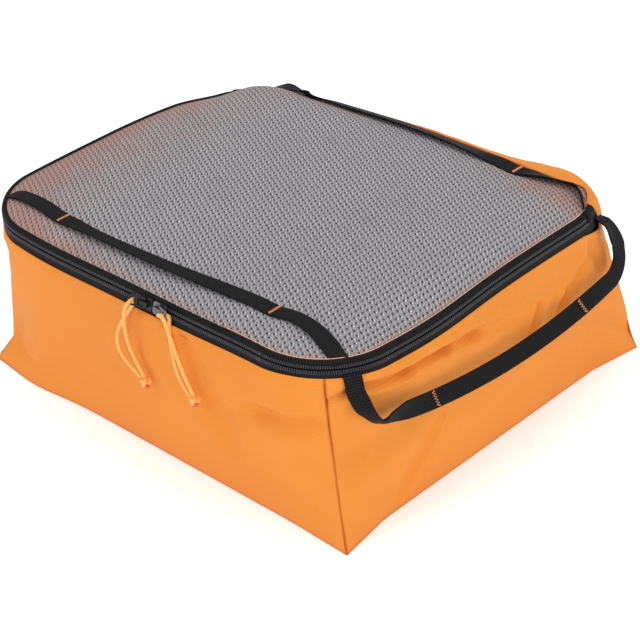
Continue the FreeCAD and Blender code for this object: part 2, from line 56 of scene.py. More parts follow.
# --- driving dimensions: the CAD model's, and a few that only the looks need -----------------
BASE_WIDTH, BASE_DEPTH = 0.350, 0.312
FABRIC, FLOOR_GAP = 0.0008, 0.0004
WALL_TOP_Z, HEM_START = 0.1215, 0.0016     # the walls' hem starts so far up the band
RIM = Outline(0.1775, -0.1715, 0.1414, 0.058, 0.060)
BAND_Z = 0.120
BAND_TILT = math.radians(15)
CHAIN_S, PITCH = 0.0145, 0.0016
THREAD_START_U = 7.85     # the lid's pale edge thread shows from here, along the front, to the right
PIPING_S, PIPING_N, PIPING_R = 0.0184, -0.0019, 0.0018
TAPE_T, THREAD_R = 0.0006, 0.00040
MESH_INSET, MESH_EDGE_Z, MESH_T = 0.00845, 0.1384, 0.0009
CROWN_RISE = 0.0080
OVER_MESH = 0.0012     # how far above the mesh's height a piece that lies on it runs
FOLD_Y, ZIP_END_Y, FOLD_GAP = 0.094, 0.1075, 0.0003
WEBBING, WEBBING_T = 0.012, 0.0012
# Where each strap runs over the lid: X, Y, and how far it leans, in degrees, towards the back.
FRONT_STRAP = [(-0.159, -0.140, 0), (-0.135, -0.139, 0), (-0.099, -0.1405, 0), (-0.060, -0.1415, 14),
               (0.000, -0.1405, 12), (0.060, -0.1365, 2), (0.099, -0.134, 0), (0.118, -0.132, 4),
               (0.139, -0.1345, 0), (0.164, -0.1425, -10)]
REAR_STRAP = [(-0.148, 0.113, 0), (-0.126, 0.1055, 0), (-0.110, 0.1055, 26), (-0.100, 0.1065, 58),
              (-0.090, 0.107, 34), (-0.060, 0.109, 24), (0.030, 0.1085, 24), (0.060, 0.108, 18),
              (0.082, 0.108, 2), (0.099, 0.1085, 0), (0.123, 0.113, 26), (0.140, 0.1165, 38),
              (0.1515, 0.1125, 62), (0.1655, 0.0985, 84)]
BARTACK_X = 0.099
HANDLE_X, HANDLE_Z, HANDLE_TILT = 0.1805, 0.117, math.radians(16)
HANDLE_T = 0.0015
BINDING_IN, BINDING_WIDTH, BINDING_T = 0.0100, 0.0070, 0.0013
CORD_D = 0.0026

# Along the rim, anticlockwise from the front right corner seam: half a corner, right side, corner,
# back, corner, left side, corner, front, half a corner. One unit of u is one of these stretches.
LAP, JUST_SHORT = 9.0, 1e-6
WALL_STEP, STRIP_STEP = 0.0016, 0.0022     # spacing of the points along walls and along strips
STRETCH_ENDS = list(range(10))
STRETCH_ANGLES = [-45, 0, 0, 90, 90, 180, 180, 270, 270, 315]
PANELS = {"right_panel": (0.0, 2.5), "back_panel": (2.5, 4.5), "left_panel": (4.5, 6.5),
          "front_panel": (6.5, 9.0)}
CORNERS = {"front_right": "right_panel", "back_right": "back_panel", "back_left": "left_panel",
           "front_left": "front_panel"}     # each corner seam and the wall that starts at it


def new_object(name, data):
    piece = bpy.data.objects.new(name, data)
    bpy.context.scene.collection.objects.link(piece)
    return piece


# --- camera -------------------------------------------------------------------------------
def make_camera():
    position = Vector((0.8852, -0.8841, 0.8419))
    forward = Vector((-0.5913, 0.5944, -0.5449)).normalized()
    roll = math.radians(-2.78)
    level_right = forward.cross(Vector((0, 0, 1))).normalized()
    level_up = level_right.cross(forward)
    right = level_right * math.cos(roll) + level_up * math.sin(roll)
    up = level_up * math.cos(roll) - level_right * math.sin(roll)
    camera = new_object("camera", bpy.data.cameras.new("camera"))
    turn = Matrix((right, up, -forward)).transposed().to_4x4()
    camera.matrix_world = Matrix.Translation(position) @ turn
    camera.data.lens = 115.3
    camera.data.sensor_width = 36
    camera.data.clip_start = 0.05
    bpy.context.scene.camera = camera


# --- material building --------------------------------------------------------------------
def rgba(red, green, blue):
    return (red, green, blue, 1.0)


def grey(value):
    return (value, value, value, 1.0)


class Nodes:
    """A material and short calls to add nodes to it."""
    DIAGONAL = 0.707     # share of x and of y along a slant of 45 degrees


    def __init__(self, name, looks):
        self.material = bpy.data.materials.new(name)
        self.material.use_nodes = True
        self.tree = self.material.node_tree
        self.bsdf = self.tree.nodes["Principled BSDF"]
        for socket, value in looks.items():
            self.bsdf.inputs[socket].default_value = value

    def add(self, kind, inputs=None, **settings):
        node = self.tree.nodes.new("ShaderNode" + kind)
        for name, value in settings.items():
            setattr(node, name, value)
        for name, value in (inputs or {}).items():
            self.put(value, node.inputs[name])
        return node

    def put(self, value, socket):
        if isinstance(value, bpy.types.NodeSocket):
            self.tree.links.new(value, socket)
        else:
            socket.default_value = value

    def uv_mm(self, scale=1.0):
        """The piece's flat-cut coordinates, in millimetres, times scale."""
        inputs = {"Vector": self.add("UVMap").outputs["UV"], "Scale": (1000 * scale,) * 3}
        return self.add("Mapping", inputs).outputs["Vector"]

    def place(self):
        """Coordinates of the piece's own frame, in metres."""
        return self.add("TexCoord").outputs["Object"]

    def noise(self, vector, scale, detail=4.0):
        inputs = {"Vector": vector, "Scale": scale, "Detail": detail, "Roughness": 0.6}
        return self.add("TexNoise", inputs).outputs["Fac"]

    def wave(self, vector, scale, distortion, direction="X", detail=2.0, detail_scale=1.0):
        inputs = {"Vector": vector, "Scale": scale, "Distortion": distortion, "Detail": detail,
                  "Detail Scale": detail_scale}
        return self.add("TexWave", inputs, wave_type="BANDS", bands_direction=direction).outputs["Color"]

    def ramp(self, value, stops):
        node = self.add("ValToRGB", {"Fac": value})
        elements = node.color_ramp.elements
        while len(elements) < len(stops):
            elements.new(0.5)
        for element, (position, colour) in zip(elements, stops):
            element.position = position
            element.color = colour
        return node.outputs["Color"]

    def mix(self, factor, a, b, blend_type="MIX"):
        node = self.add("MixRGB", {"Fac": factor, "Color1": a, "Color2": b}, blend_type=blend_type)
        return node.outputs["Color"]

    def math(self, operation, a, b=0.0):
        node = self.add("Math", operation=operation)
        self.put(a, node.inputs[0])
        self.put(b, node.inputs[1])
        return node.outputs["Value"]

    def wrap(self, value, half):
        node = self.add("Math", {0: value, 1: half, 2: -half}, operation="WRAP")
        return node.outputs["Value"]

    def dots(self, parts, shift, size):
        """Distance to the nearest of a staggered set of ovals, in ovals, long from -X +Y to +X -Y."""
        half_x, half_y = 3.85, 2.09
        nearest = []
        for more_x, more_y in ((0.0, 0.0), (half_x, half_y)):
            x = self.wrap(self.math("ADD", parts.outputs["X"], shift[0] + more_x), half_x)
            y = self.wrap(self.math("ADD", parts.outputs["Y"], shift[1] + more_y), half_y)
            short = self.math("MULTIPLY", self.math("ADD", x, y), self.DIAGONAL / size[0])
            long = self.math("MULTIPLY", self.math("SUBTRACT", x, y), self.DIAGONAL / size[1])
            squares = self.math("ADD", self.math("MULTIPLY", short, short), self.math("MULTIPLY", long, long))
            nearest.append(self.math("SQRT", squares))
        return self.math("MINIMUM", *nearest)

    def bump(self, height, distance, strength=1.0, normal=None):
        inputs = {"Height": height, "Distance": distance, "Strength": strength}
        if normal is not None:
            inputs["Normal"] = normal
        return self.add("Bump", inputs).outputs["Normal"]

    def finish(self, colour=None, roughness=None, normal=None):
        for name, value in (("Base Color", colour), ("Roughness", roughness), ("Normal", normal)):
            if value is not None:
                self.put(value, self.bsdf.inputs[name])
        return self.material


def orange_nylon():
    n = Nodes("orange_nylon", {"Roughness": 0.66, "Specular IOR Level": 0.22, "Sheen Weight": 0.06,
                               "Sheen Roughness": 0.4, "Sheen Tint": rgba(1.0, 0.55, 0.2)})
    bricks = {"Vector": n.uv_mm(), "Color1": grey(1.0), "Color2": grey(0.93), "Mortar": grey(0.70),
              "Scale": 1.0, "Mortar Size": 0.30, "Mortar Smooth": 1.0, "Brick Width": 5.5, "Row Height": 1.6}
    dashes = n.add("TexBrick", bricks).outputs["Color"]
    weave = n.mix(0.2, dashes, n.wave(n.uv_mm(), 1.6, 0.3))
    patches = n.noise(n.place(), 9.0)
    base = n.ramp(patches, [(0.3, rgba(0.785, 0.250, 0.030)), (0.7, rgba(0.840, 0.285, 0.038))])
    shaded = n.mix(0.30, base, n.mix(1.0, base, dashes, "MULTIPLY"))
    seam = n.add("Attribute", attribute_name="seam").outputs["Fac"]
    colour = n.mix(seam, shaded, rgba(0.42, 0.045, 0.008))
    fine = n.noise(n.place(), 900.0, 2.0)
    normal = n.bump(fine, 0.00005, 0.5, n.bump(weave, 0.00022, 0.8))
    return n.finish(colour, n.ramp(patches, [(0.2, grey(0.60)), (0.8, grey(0.72))]), normal)


def mesh_fabric():
    """Knitted mesh: rows of oval holes, staggered, painted dark with shade, between light yarns, each with a
    painted highlight beside it, and painted orange bounce light near the edges.
    """
    n = Nodes("lid_mesh", {"Roughness": 0.75, "Sheen Weight": 0.05, "Specular IOR Level": 0.25})
    flat = n.uv_mm()
    shake = n.add("TexNoise", {"Vector": flat, "Scale": 0.35, "Detail": 2.0})
    shift = n.add("VectorMath", {0: shake.outputs["Color"], 1: (1.1, 1.1, 0.0)}, operation="MULTIPLY")
    moved = n.add("VectorMath", {0: flat, 1: shift.outputs["Vector"]}, operation="ADD")
    parts = n.add("SeparateXYZ", {"Vector": moved.outputs["Vector"]})
    holes = n.math("MULTIPLY", n.dots(parts, (0.0, 0.0), (0.58, 1.10)), 0.4)
    # Painted highlights: a light spot beside each hole, where the yarn catches the light.
    painted_highlight_dist = n.dots(parts, (-1.0, -0.80), (0.42, 0.75))
    # The holes' near-black is painted shade: the shaded inside of the bag seen through them. The staggered
    # hole pattern itself belongs to the mesh.
    yarn = n.ramp(holes, [(0.27, rgba(0.004, 0.004, 0.005)), (0.43, rgba(0.23, 0.22, 0.23)),
                          (0.66, rgba(0.345, 0.33, 0.35)), (1.0, rgba(0.39, 0.37, 0.395))])
    painted_highlight_mask = n.ramp(painted_highlight_dist, [(0.60, grey(1.0)), (1.15, grey(0.0))])
    yarn = n.mix(painted_highlight_mask, yarn, rgba(0.85, 0.84, 0.84))
    knit = n.wave(flat, 0.21, 3.0, "DIAGONAL", 2.0, 1.4)
    yarn = n.mix(0.45, yarn, n.mix(1.0, yarn, knit, "MULTIPLY"))
    patches = n.noise(n.uv_mm(0.02), 1.0)
    yarn = n.mix(n.math("MULTIPLY", patches, 0.30), yarn, rgba(0.15, 0.145, 0.155))
    # Painted orange bounce light from the orange walls, seen through the mesh, with a little brownish painted
    # shade, strongest near the mesh's edges.
    painted_bounce_light = n.add("Attribute", attribute_name="painted_bounce_light").outputs["Fac"]
    bounce_glow_colour = n.mix(1.0, yarn, rgba(1.0, 0.66, 0.55), "MULTIPLY")
    colour = n.mix(painted_bounce_light, yarn, n.mix(0.20, bounce_glow_colour, rgba(0.60, 0.28, 0.18)))
    height = n.ramp(holes, [(0.20, grey(0.0)), (0.50, grey(0.8)), (0.80, grey(1.0))])
    return n.finish(colour, None, n.bump(knit, 0.0003, 0.5, n.bump(height, 0.0006, 0.8)))


def webbing(name, dark=0.002, light=0.017):
    """Black narrow fabric with ribs across it."""
    n = Nodes(name, {"Roughness": 0.6, "Specular IOR Level": 0.11})
    flat = n.uv_mm()
    weave = n.mix(0.3, n.wave(flat, 0.185, 0.4, "X", 1.0), n.wave(flat, 0.26, 0.6, "Y"))
    fuzz = n.math("ADD", n.noise(n.place(), 1400.0, 3.0), 0.4)
    colour = n.ramp(n.math("MULTIPLY", weave, fuzz), [(0.15, rgba(dark, dark, dark * 1.08)),
                                                      (0.9, rgba(light, light * 0.99, light * 1.08))])
    return n.finish(colour, None, n.bump(weave, 0.00030, 0.9))


def zipper_tape():
    n = Nodes("zipper_tape", {"Roughness": 0.6, "Specular IOR Level": 0.12})
    flat = n.uv_mm()
    weave = n.mix(0.5, n.wave(flat, 0.9, 0.5, "X", 1.0), n.wave(flat, 0.7, 0.5, "Y"))
    fuzz = n.math("ADD", n.noise(n.place(), 60.0), 0.5)
    colour = n.ramp(n.math("MULTIPLY", weave, fuzz), [(0.1, rgba(0.004, 0.004, 0.005)),
                                                      (0.9, rgba(0.016, 0.015, 0.018))])
    return n.finish(colour, None, n.bump(weave, 0.00014, 0.8))


def moulded(name, dark, light, roughness, metallic=0.0):
    """Plastic, thread or cast metal: a fine grain over slow colour patches."""
    n = Nodes(name, {"Roughness": roughness, "Metallic": metallic})
    fine = n.noise(n.place(), 700.0, 3.0)
    patches = n.noise(n.place(), 45.0, 3.0)
    colour = n.ramp(n.mix(0.4, patches, fine), [(0.3, dark), (0.7, light)])
    rough = n.ramp(patches, [(0.2, grey(roughness - 0.07)), (0.8, grey(roughness + 0.07))])
    return n.finish(colour, rough, n.bump(fine, 0.00006, 0.7))


def cord_sheath():
    n = Nodes("pull_cord", {"Roughness": 0.55, "Sheen Weight": 0.2})
    turned = n.add("Mapping", {"Vector": n.place(), "Rotation": (0.5, 0.4, 0.0)})
    braid = n.wave(turned.outputs["Vector"], 340.0, 1.2, "Z", 1.0)
    fuzz = n.math("ADD", n.noise(n.place(), 300.0), 0.45)
    colour = n.ramp(n.math("MULTIPLY", braid, fuzz), [(0.1, rgba(0.93, 0.36, 0.06)),
                                                      (0.8, rgba(1.0, 0.54, 0.14))])
    return n.finish(colour, None, n.bump(braid, 0.00018, 0.8))


def painted(piece, material):
    piece.data.materials.clear()
    piece.data.materials.append(material)
    return piece


def dress(piece, material, slot, body, *nodes):
    """The piece stands for the CAD nodes named last, wears the material and rides the body."""
    if nodes:
        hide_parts(*nodes)
    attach(painted(piece, material), body)


# --- mesh helpers -------------------------------------------------------------------------
def link_mesh(name, vertices, faces, uvs=None, shades=None):
    """A smooth-shaded mesh; uvs has a pair per vertex, and shades a list of values per attribute."""
    mesh = bpy.data.meshes.new(name)
    mesh.from_pydata([tuple(v) for v in vertices], [], [tuple(f) for f in faces])
    mesh.polygons.foreach_set("use_smooth", [True] * len(mesh.polygons))
    if uvs is not None:
        layer = mesh.uv_layers.new(name="UVMap")
        corner_vertices = np.zeros(len(mesh.loops), int)
        mesh.loops.foreach_get("vertex_index", corner_vertices)
        layer.data.foreach_set("uv", np.asarray(uvs, float)[corner_vertices].ravel())
    for attribute, values in (shades or {}).items():
        layer = mesh.attributes.new(attribute, "FLOAT", "POINT")
        layer.data.foreach_set("value", np.asarray(values, float))
    mesh.update()
    return new_object(name, mesh)


def unit(vectors):
    return vectors / np.linalg.norm(vectors, axis=-1, keepdims=True)


def run_along(path):
    """Distance along a path of points, from 0 at its first."""
    return np.concatenate([[0], np.cumsum(np.linalg.norm(np.diff(path, axis=0), axis=1))])


def pairs(first, second):
    """A grid of (first, second): both are arrays that stretch to the grid's shape."""
    return np.stack(np.broadcast_arrays(first, second), axis=-1)


def grid_normals(points):
    """Unit normals of a rows x columns grid of points, from its two directions."""
    normals = np.cross(np.gradient(points, axis=1), np.gradient(points, axis=0))
    return normals / np.maximum(np.linalg.norm(normals, axis=2, keepdims=True), 1e-12)


def quads(rows, columns, start=0, flip=False, closed=False):
    """Faces of a rows x columns grid of vertices, numbered row by row."""
    across = columns if closed else columns - 1
    row, column = np.meshgrid(np.arange(rows - 1), np.arange(across), indexing="ij")
    following = (column + 1) % columns
    a, b = row * columns + column, row * columns + following
    c, d = (row + 1) * columns + following, (row + 1) * columns + column
    faces = np.stack([a, b, c, d], axis=-1).reshape(-1, 4) + start
    return faces[:, ::-1] if flip else faces


def capped(rows, sides, flip=False):
    """Faces of a closed tube whose vertices are numbered ring by ring, with both its ends."""
    last = (rows - 1) * sides
    start, end = tuple(range(sides)), tuple(range(last, last + sides))
    caps = [start, end[::-1]] if flip else [start[::-1], end]
    return list(quads(rows, sides, closed=True, flip=flip)) + caps


def shell(name, outer, thickness, uvs, shades=None):
    """A closed sheet of that thickness whose outer side is the grid of points; rows run up, columns along."""
    rows, columns = outer.shape[:2]
    inner = outer - grid_normals(outer) * thickness
    count = rows * columns
    border = [(0, c) for c in range(columns)] + [(r, columns - 1) for r in range(1, rows)]
    border += [(rows - 1, c) for c in range(columns - 2, -1, -1)] + [(r, 0) for r in range(rows - 2, 0, -1)]
    rim = [r * columns + c for r, c in border]
    faces = list(quads(rows, columns)) + list(quads(rows, columns, count, flip=True))
    faces += [(b, a, a + count, b + count) for a, b in zip(rim, rim[1:] + rim[:1])]
    vertices = np.concatenate([outer.reshape(-1, 3), inner.reshape(-1, 3)])
    both = {key: np.concatenate([np.ravel(value)] * 2) for key, value in (shades or {}).items()}
    return link_mesh(name, vertices, faces, np.concatenate([uvs.reshape(-1, 2)] * 2), both)


def tube(name, path, radius, sides=10, closed=False):
    """A round tube along points; radius is one number or one per point."""
    path = np.asarray(path, float)
    ahead = unit(np.roll(path, -1, 0) - np.roll(path, 1, 0) if closed else np.gradient(path, axis=0))
    side = np.zeros_like(path)
    start = np.cross(ahead[0], (0.0, 0.0, 1.0))
    if np.linalg.norm(start) < 0.1:
        start = np.cross(ahead[0], (0.0, 1.0, 0.0))
    side[0] = unit(start)
    for i in range(1, len(path)):
        side[i] = unit(side[i - 1] - ahead[i] * (side[i - 1] @ ahead[i]))
    lift = np.cross(side, ahead)
    angles = np.linspace(0, 2 * math.pi, sides, endpoint=False)
    radius = np.broadcast_to(np.asarray(radius, float), (len(path),))[:, None, None]
    ring = side[:, None] * np.cos(angles)[None, :, None] + lift[:, None] * np.sin(angles)[None, :, None]
    points = path[:, None] + ring * radius
    if closed:
        last = (len(path) - 1) * sides
        faces = list(quads(len(path), sides, closed=True, flip=True))
        faces += [((k + 1) % sides, k, last + k, last + (k + 1) % sides) for k in range(sides)]
    else:
        faces = capped(len(path), sides, flip=True)
    uvs = pairs(run_along(path)[:, None], angles[None] * radius[:, 0])
    return link_mesh(name, points.reshape(-1, 3), faces, uvs.reshape(-1, 2))


def ribbon(name, path, facing, width, thickness):
    """Flat webbing along points; facing is the direction that its outer side faces at each point."""
    ahead = unit(np.gradient(path, axis=0))
    across = unit(np.cross(ahead, facing))
    out = np.cross(across, ahead)
    half, high = width / 2, thickness / 2
    rounded, edge = 0.0007, thickness * 0.35
    section = [(-half, -edge), (-half, edge), (-half + rounded, high)]
    section += [(half * k / 4, high) for k in range(-3, 4)]
    section += [(half - rounded, high), (half, edge), (half, -edge), (half - rounded, -high)]
    section += [(half * k / 4, -high) for k in range(3, -4, -1)] + [(-half + rounded, -high)]
    section = np.array(section)
    steps = unit(np.diff(path, axis=0))
    mitre = np.ones(len(path))
    mitre[1:-1] = 1 / np.sqrt(np.clip((1 + (steps[1:] * steps[:-1]).sum(1)) / 2, 0.62, 1))
    wide = across * mitre[:, None]
    points = path[:, None] + wide[:, None] * section[None, :, :1] + out[:, None] * section[None, :, 1:]
    uvs = pairs(run_along(path)[:, None], section[None, :, 0])
    return link_mesh(name, points.reshape(-1, 3), capped(len(path), len(section)), uvs.reshape(-1, 2))


def smooth_route(points, count):
    """Catmull-Rom curve through points, sampled evenly by parameter."""
    points = np.asarray(points, float)
    padded = np.concatenate([[2 * points[0] - points[1]], points, [2 * points[-1] - points[-2]]])
    t = np.linspace(0, len(points) - 1, count)
    i = np.minimum(t.astype(int), len(points) - 2)
    f = (t - i)[:, None]
    a, b, c, d = padded[i], padded[i + 1], padded[i + 2], padded[i + 3]
    squared, cubed = 2 * a - 5 * b + 4 * c - d, 3 * b - a - 3 * c + d
    return 0.5 * (2 * b + (c - a) * f + squared * f ** 2 + cubed * f ** 3)


def ease(value):
    value = np.clip(value, 0, 1)
    return value * value * (3 - 2 * value)


def bell(value, centre, width):
    return np.exp(-((value - centre) / width) ** 2)


def wavy(points, size, seed):
    """Slow pseudo-random field, from -1 to 1, at each point of a grid."""
    flat = points.reshape(-1, 3) / size + seed
    return np.array([noise.noise(Vector(p)) for p in flat]).reshape(points.shape[:-1])


# --- shape of the box ---------------------------------------------------------------------
def inset(outline, distance):
    return Outline(outline.half_width - distance, outline.front + distance, outline.back - distance,
                   outline.front_radius - distance, outline.back_radius - distance)


def around(outline, u, outward=0.0):
    """Plan point at u, moved outwards; outline, u and outward may be arrays of one shape."""
    u = np.mod(np.asarray(u, float), LAP)
    angle = np.radians(np.interp(u, STRETCH_ENDS, STRETCH_ANGLES))
    front_r, back_r = outline.front_radius, outline.back_radius
    front_x, back_x = outline.half_width - front_r, outline.half_width - back_r
    front_y, back_y = outline.front + front_r, outline.back - back_r
    centres = [front_x] * 2 + [back_x] * 2 + [-back_x] * 2 + [-front_x] * 2 + [front_x] * 2
    centre_x = np.interp(u, STRETCH_ENDS, centres)
    centre_y = np.interp(u, STRETCH_ENDS, [front_y] * 2 + [back_y] * 4 + [front_y] * 4)
    radius = np.interp(u, STRETCH_ENDS, [front_r] * 2 + [back_r] * 4 + [front_r] * 4) + outward
    return centre_x + radius * np.cos(angle), centre_y + radius * np.sin(angle)


def off_rim(s, n):
    """A place s up the tilted band and n off it, as (distance outwards from the rim, height)."""
    tilt_out, tilt_up = math.cos(BAND_TILT), math.sin(BAND_TILT)
    return n * tilt_out - s * tilt_up, BAND_Z + s * tilt_out + n * tilt_up


def end_u(y, side):
    """u where the rim's back corner on that side reaches y."""
    angle = math.degrees(math.asin((y - (RIM.back - RIM.back_radius)) / RIM.back_radius))
    return LAP + 2 + angle / 90 if side == "right" else 5 - angle / 90


def floor_line(u):
    """The base's edge below u: straight between corners that flare out, and drawn in along both sides."""
    share = 0.14
    u = np.mod(np.asarray(u, float), LAP)
    knots = [0, 1, 2, 2.5, 3, 4, 4.5, 5, 6, 6.5, 7, 8, 9]
    x, y = BASE_WIDTH / 2, BASE_DEPTH / 2
    low, high = -y + 2 * y * share, y - 2 * y * share
    left, right = -x + 2 * x * share, x - 2 * x * share
    pulled = x - 0.0065
    xs = np.interp(u, knots, [x, pulled, pulled, x, right, left, -x, -pulled, -pulled, -x, left, right, x])
    back, front = [y, y - 0.004, y - 0.004, y], [-y, -y - 0.001, -y + 0.0015, -y]
    ys = np.interp(u, knots, [-y, low, high, *back, high, low, *front])
    ys = ys - 0.0045 * bell(xs, -0.130, 0.035) * (ys < -0.12)
    return xs, ys


def lengths_along(u):
    """Arc length along the rim, in metres, from u = 0."""
    dense = np.linspace(0, LAP, 3601)
    x, y = around(RIM, dense - 1e-9 * (dense == LAP))
    run = np.concatenate([[0], np.cumsum(np.hypot(np.diff(x), np.diff(y)))])
    laps = np.floor(np.asarray(u, float) / LAP)
    return np.interp(np.asarray(u, float) - laps * LAP, dense, run) + laps * run[-1]


def stations(start, end, step, finer_at_ends=False):
    """Values of u from start to end, evenly spaced along the rim, or closer together at both ends."""
    dense = np.linspace(start, end, 4001)
    run = lengths_along(dense)
    count = max(2, round((run[-1] - run[0]) / step))
    targets = np.linspace(run[0], run[-1], count)
    if finer_at_ends:
        extra = np.arange(0.0004, 0.0046, 0.0007)
        targets = np.unique(np.concatenate([targets, run[0] + extra, run[-1] - extra]).round(6))
    return np.interp(targets, run, dense)


MESH_EDGE = inset(RIM, MESH_INSET)


def edge_distance(x, y):
    """Distance in from the edge of the mesh, negative outside."""
    front = y < 0
    radius = np.where(front, MESH_EDGE.front_radius, MESH_EDGE.back_radius)
    qx = np.abs(x) - (MESH_EDGE.half_width - radius)
    qy = np.where(front, MESH_EDGE.front + radius - y, y - (MESH_EDGE.back - radius))
    outside = np.hypot(np.maximum(qx, 0), np.maximum(qy, 0)) + np.minimum(np.maximum(qx, qy), 0)
    return radius - outside


def warp(points):
    """How the real, soft bag departs from its drawing; every soft piece goes through it."""
    x, y, z = (points[..., k] for k in range(3))
    moved = points.copy()
    inwards = np.maximum(edge_distance(x, y), 0)
    # The front left corner is drawn in above the floor, and the back right one pushed out.
    heights = [0, 0.006, 0.022, 0.110, 0.128, 0.140]
    drawn_in = np.interp(z, heights, [0, 0.0006, 0.0075, 0.0078, 0.0056, 0.0026])
    drawn_in = drawn_in * bell(x, -0.172, 0.050) * bell(y, -0.165, 0.060)
    back_right = bell(x, 0.172, 0.040) * bell(y, 0.150, 0.055) * bell(z, 0.060, 0.040)
    # The rim hangs slack on the right, and rises and dips along the front.
    high = ease((z - 0.085) / 0.035)
    slack = bell(x, 0.178, 0.030) * bell(y, -0.070, 0.055) * high
    moved[..., 0] += drawn_in + 0.0035 * back_right + 0.0022 * slack
    moved[..., 1] += drawn_in
    lift = 0.0020 * bell(x, 0.110, 0.045) * bell(y, -0.160, 0.050)
    lift -= 0.0020 * bell(x, -0.080, 0.055) * bell(y, -0.165, 0.035)
    # The rear left sags, and the rim slopes down to the back.
    left_sag = 0.0150 / (1 + np.exp((x + 0.055) / 0.026)) * np.clip((y + 0.030) / 0.140, 0, 1) ** 2
    rear_slope = 0.0100 * ease((y - 0.110) / 0.030) * (1 - 0.9 * ease((x - 0.040) / 0.110))
    rear_slope *= 1 - 0.8 * ease((-0.118 - x) / 0.045)
    tucked = 0.0034 * bell(inwards, 0, 0.012) * ease((y - 0.030) / 0.050) * ease((-0.095 - x) / 0.040)
    sunk = (left_sag * bell(inwards, 0, 0.036) + rear_slope + tucked) * ease((z - 0.015) / 0.105)
    moved[..., 2] += lift * high - 0.0030 * slack - sunk
    return moved


# --- folds in the walls -------------------------------------------------------------------
# Each fold, in mm: distance along the wall and height where it starts, the same where it ends, width, depth.
FOLDS = {
    "right_panel": [
        (-165, 111, -140, 120, 2.6, 4.2), (-142, 120.4, -98, 117.5, 3.0, 4.4),
        (-100, 118.8, -60, 115, 3.2, 4.6), (-62, 115, -30, 109.5, 3.6, 3.4), (-34, 110, 4, 99, 5.0, 2.0),
        (-150, 70, -95, 76, 12.0, 2.6), (-92, 12, -66, 56, 3.0, -2.0), (-104, 4, -78, 50, 8.0, 1.6),
        (17, 74, 31, 95, 3.0, 4.2),
        (47, 76, 60, 93, 3.0, 4.2), (59, 88, 88, 108, 4.2, 2.2), (94, 116, 102, 80, 5.0, 2.4),
        (110, 80, 120, 99, 3.6, 2.4), (126, 114, 131, 92, 5.0, -1.8), (20, 30, 120, 16, 14.0, 2.2),
        (100, 50, 128, 18, 6.0, 2.6)],
    "front_panel": [
        (170, 96, 112, 90, 6.0, 4.2), (112, 90, 70, 74, 10.0, 1.8), (52, 118, 78, 60, 10.0, 3.2),
        (28, 116, 46, 74, 8.0, 1.6), (-20, 108, -70, 30, 22.0, 1.6), (-150, 30, -120, 86, 14.0, 1.8)],
    "left_panel": [
        (90, 106, 20, 112, 7.0, 3.4), (-90, 112, -30, 88, 8.0, 2.8), (-120, 18, -80, 62, 7.0, 2.2),
        (60, 20, 100, 70, 9.0, 2.4), (-10, 90, 14, 40, 12.0, 1.8)],
    "back_panel": [
        (-130, 106, -60, 115, 8.0, 3.0), (-40, 108, 50, 112, 8.0, 2.2), (70, 114, 130, 96, 8.0, 3.0),
        (-100, 20, -60, 76, 11.0, 2.4), (20, 20, 80, 56, 13.0, 2.4)],
}
# Where distance along a wall counts from, as u, then its sign, and its offset in metres.
PANEL_MIDDLE = {"right_panel": (1.5, 1, -0.01605), "back_panel": (3.5, -1, 0.0),
                "left_panel": (5.5, -1, -0.01605), "front_panel": (7.5, 1, 0.0)}


def fold_depth(along, height, folds):
    """How far the folds draw the cloth inwards, at each point of a wall."""
    total = np.zeros(along.shape)
    for fold in folds:
        a0, z0, a1, z1, width, depth = (value / 1000 for value in fold)
        run = math.hypot(a1 - a0, z1 - z0)
        share = ((along - a0) * (a1 - a0) + (height - z0) * (z1 - z0)) / run ** 2
        across = ((along - a0) * (z1 - z0) - (height - z0) * (a1 - a0)) / run
        beyond = np.maximum(np.maximum(-share, share - 1), 0) * run
        lip = 0.45 * bell(np.abs(across), 1.9 * width, 1.1 * width)
        total += depth * bell(beyond, 0, 1.6 * width) * (bell(across, 0, width) - lip)
    return total


def hem_top(u):
    """How far up the band the wall's top hem reaches, at u."""
    knots = [0, 0.5, 1, 1.5, 2.05, 2.28, 4.70, 5, 6, 6.5, 7, 7.5, 8, 8.5, 9]
    tops = [9.0, 8.6, 8.0, 7.6, 7.0, 1.6, 1.6, 6.8, 7.0, 6.8, 6.9, 6.8, 7.8, 9.0, 9.0]
    return np.interp(np.mod(u, LAP), knots, tops) / 1000


def wall_surface(u, share):
    """Outer points of one wall; share runs from 0 at the floor to 1 at the rim, and up the hem to 2."""
    low_x, low_y = floor_line(u)
    top_outline = inset(RIM, (WALL_TOP_Z - BAND_Z) * math.tan(BAND_TILT))
    high_x, high_y = around(top_outline, u)
    s = share[share <= 1][:, None]
    flare = s ** 0.9
    x, y = low_x + (high_x - low_x) * flare, low_y + (high_y - low_y) * flare
    rows = list(np.stack(np.broadcast_arrays(x, y, FLOOR_GAP + (WALL_TOP_Z - FLOOR_GAP) * s), axis=-1))
    for extra in share[share > 1] - 1:
        up = HEM_START + (hem_top(u) - HEM_START) * extra
        outward, z = off_rim(up, 0.0008 - 0.0004 * (extra > 0.95))
        rows.append(np.stack([*around(RIM, u, outward), z], -1))
    return np.array(rows)


WALL_SHARES = np.concatenate([[0, 0.004, 0.012], np.linspace(0.025, 0.985, 78),
                              [1.08, 1.22, 1.4, 1.6, 1.8, 1.96, 2.0]])


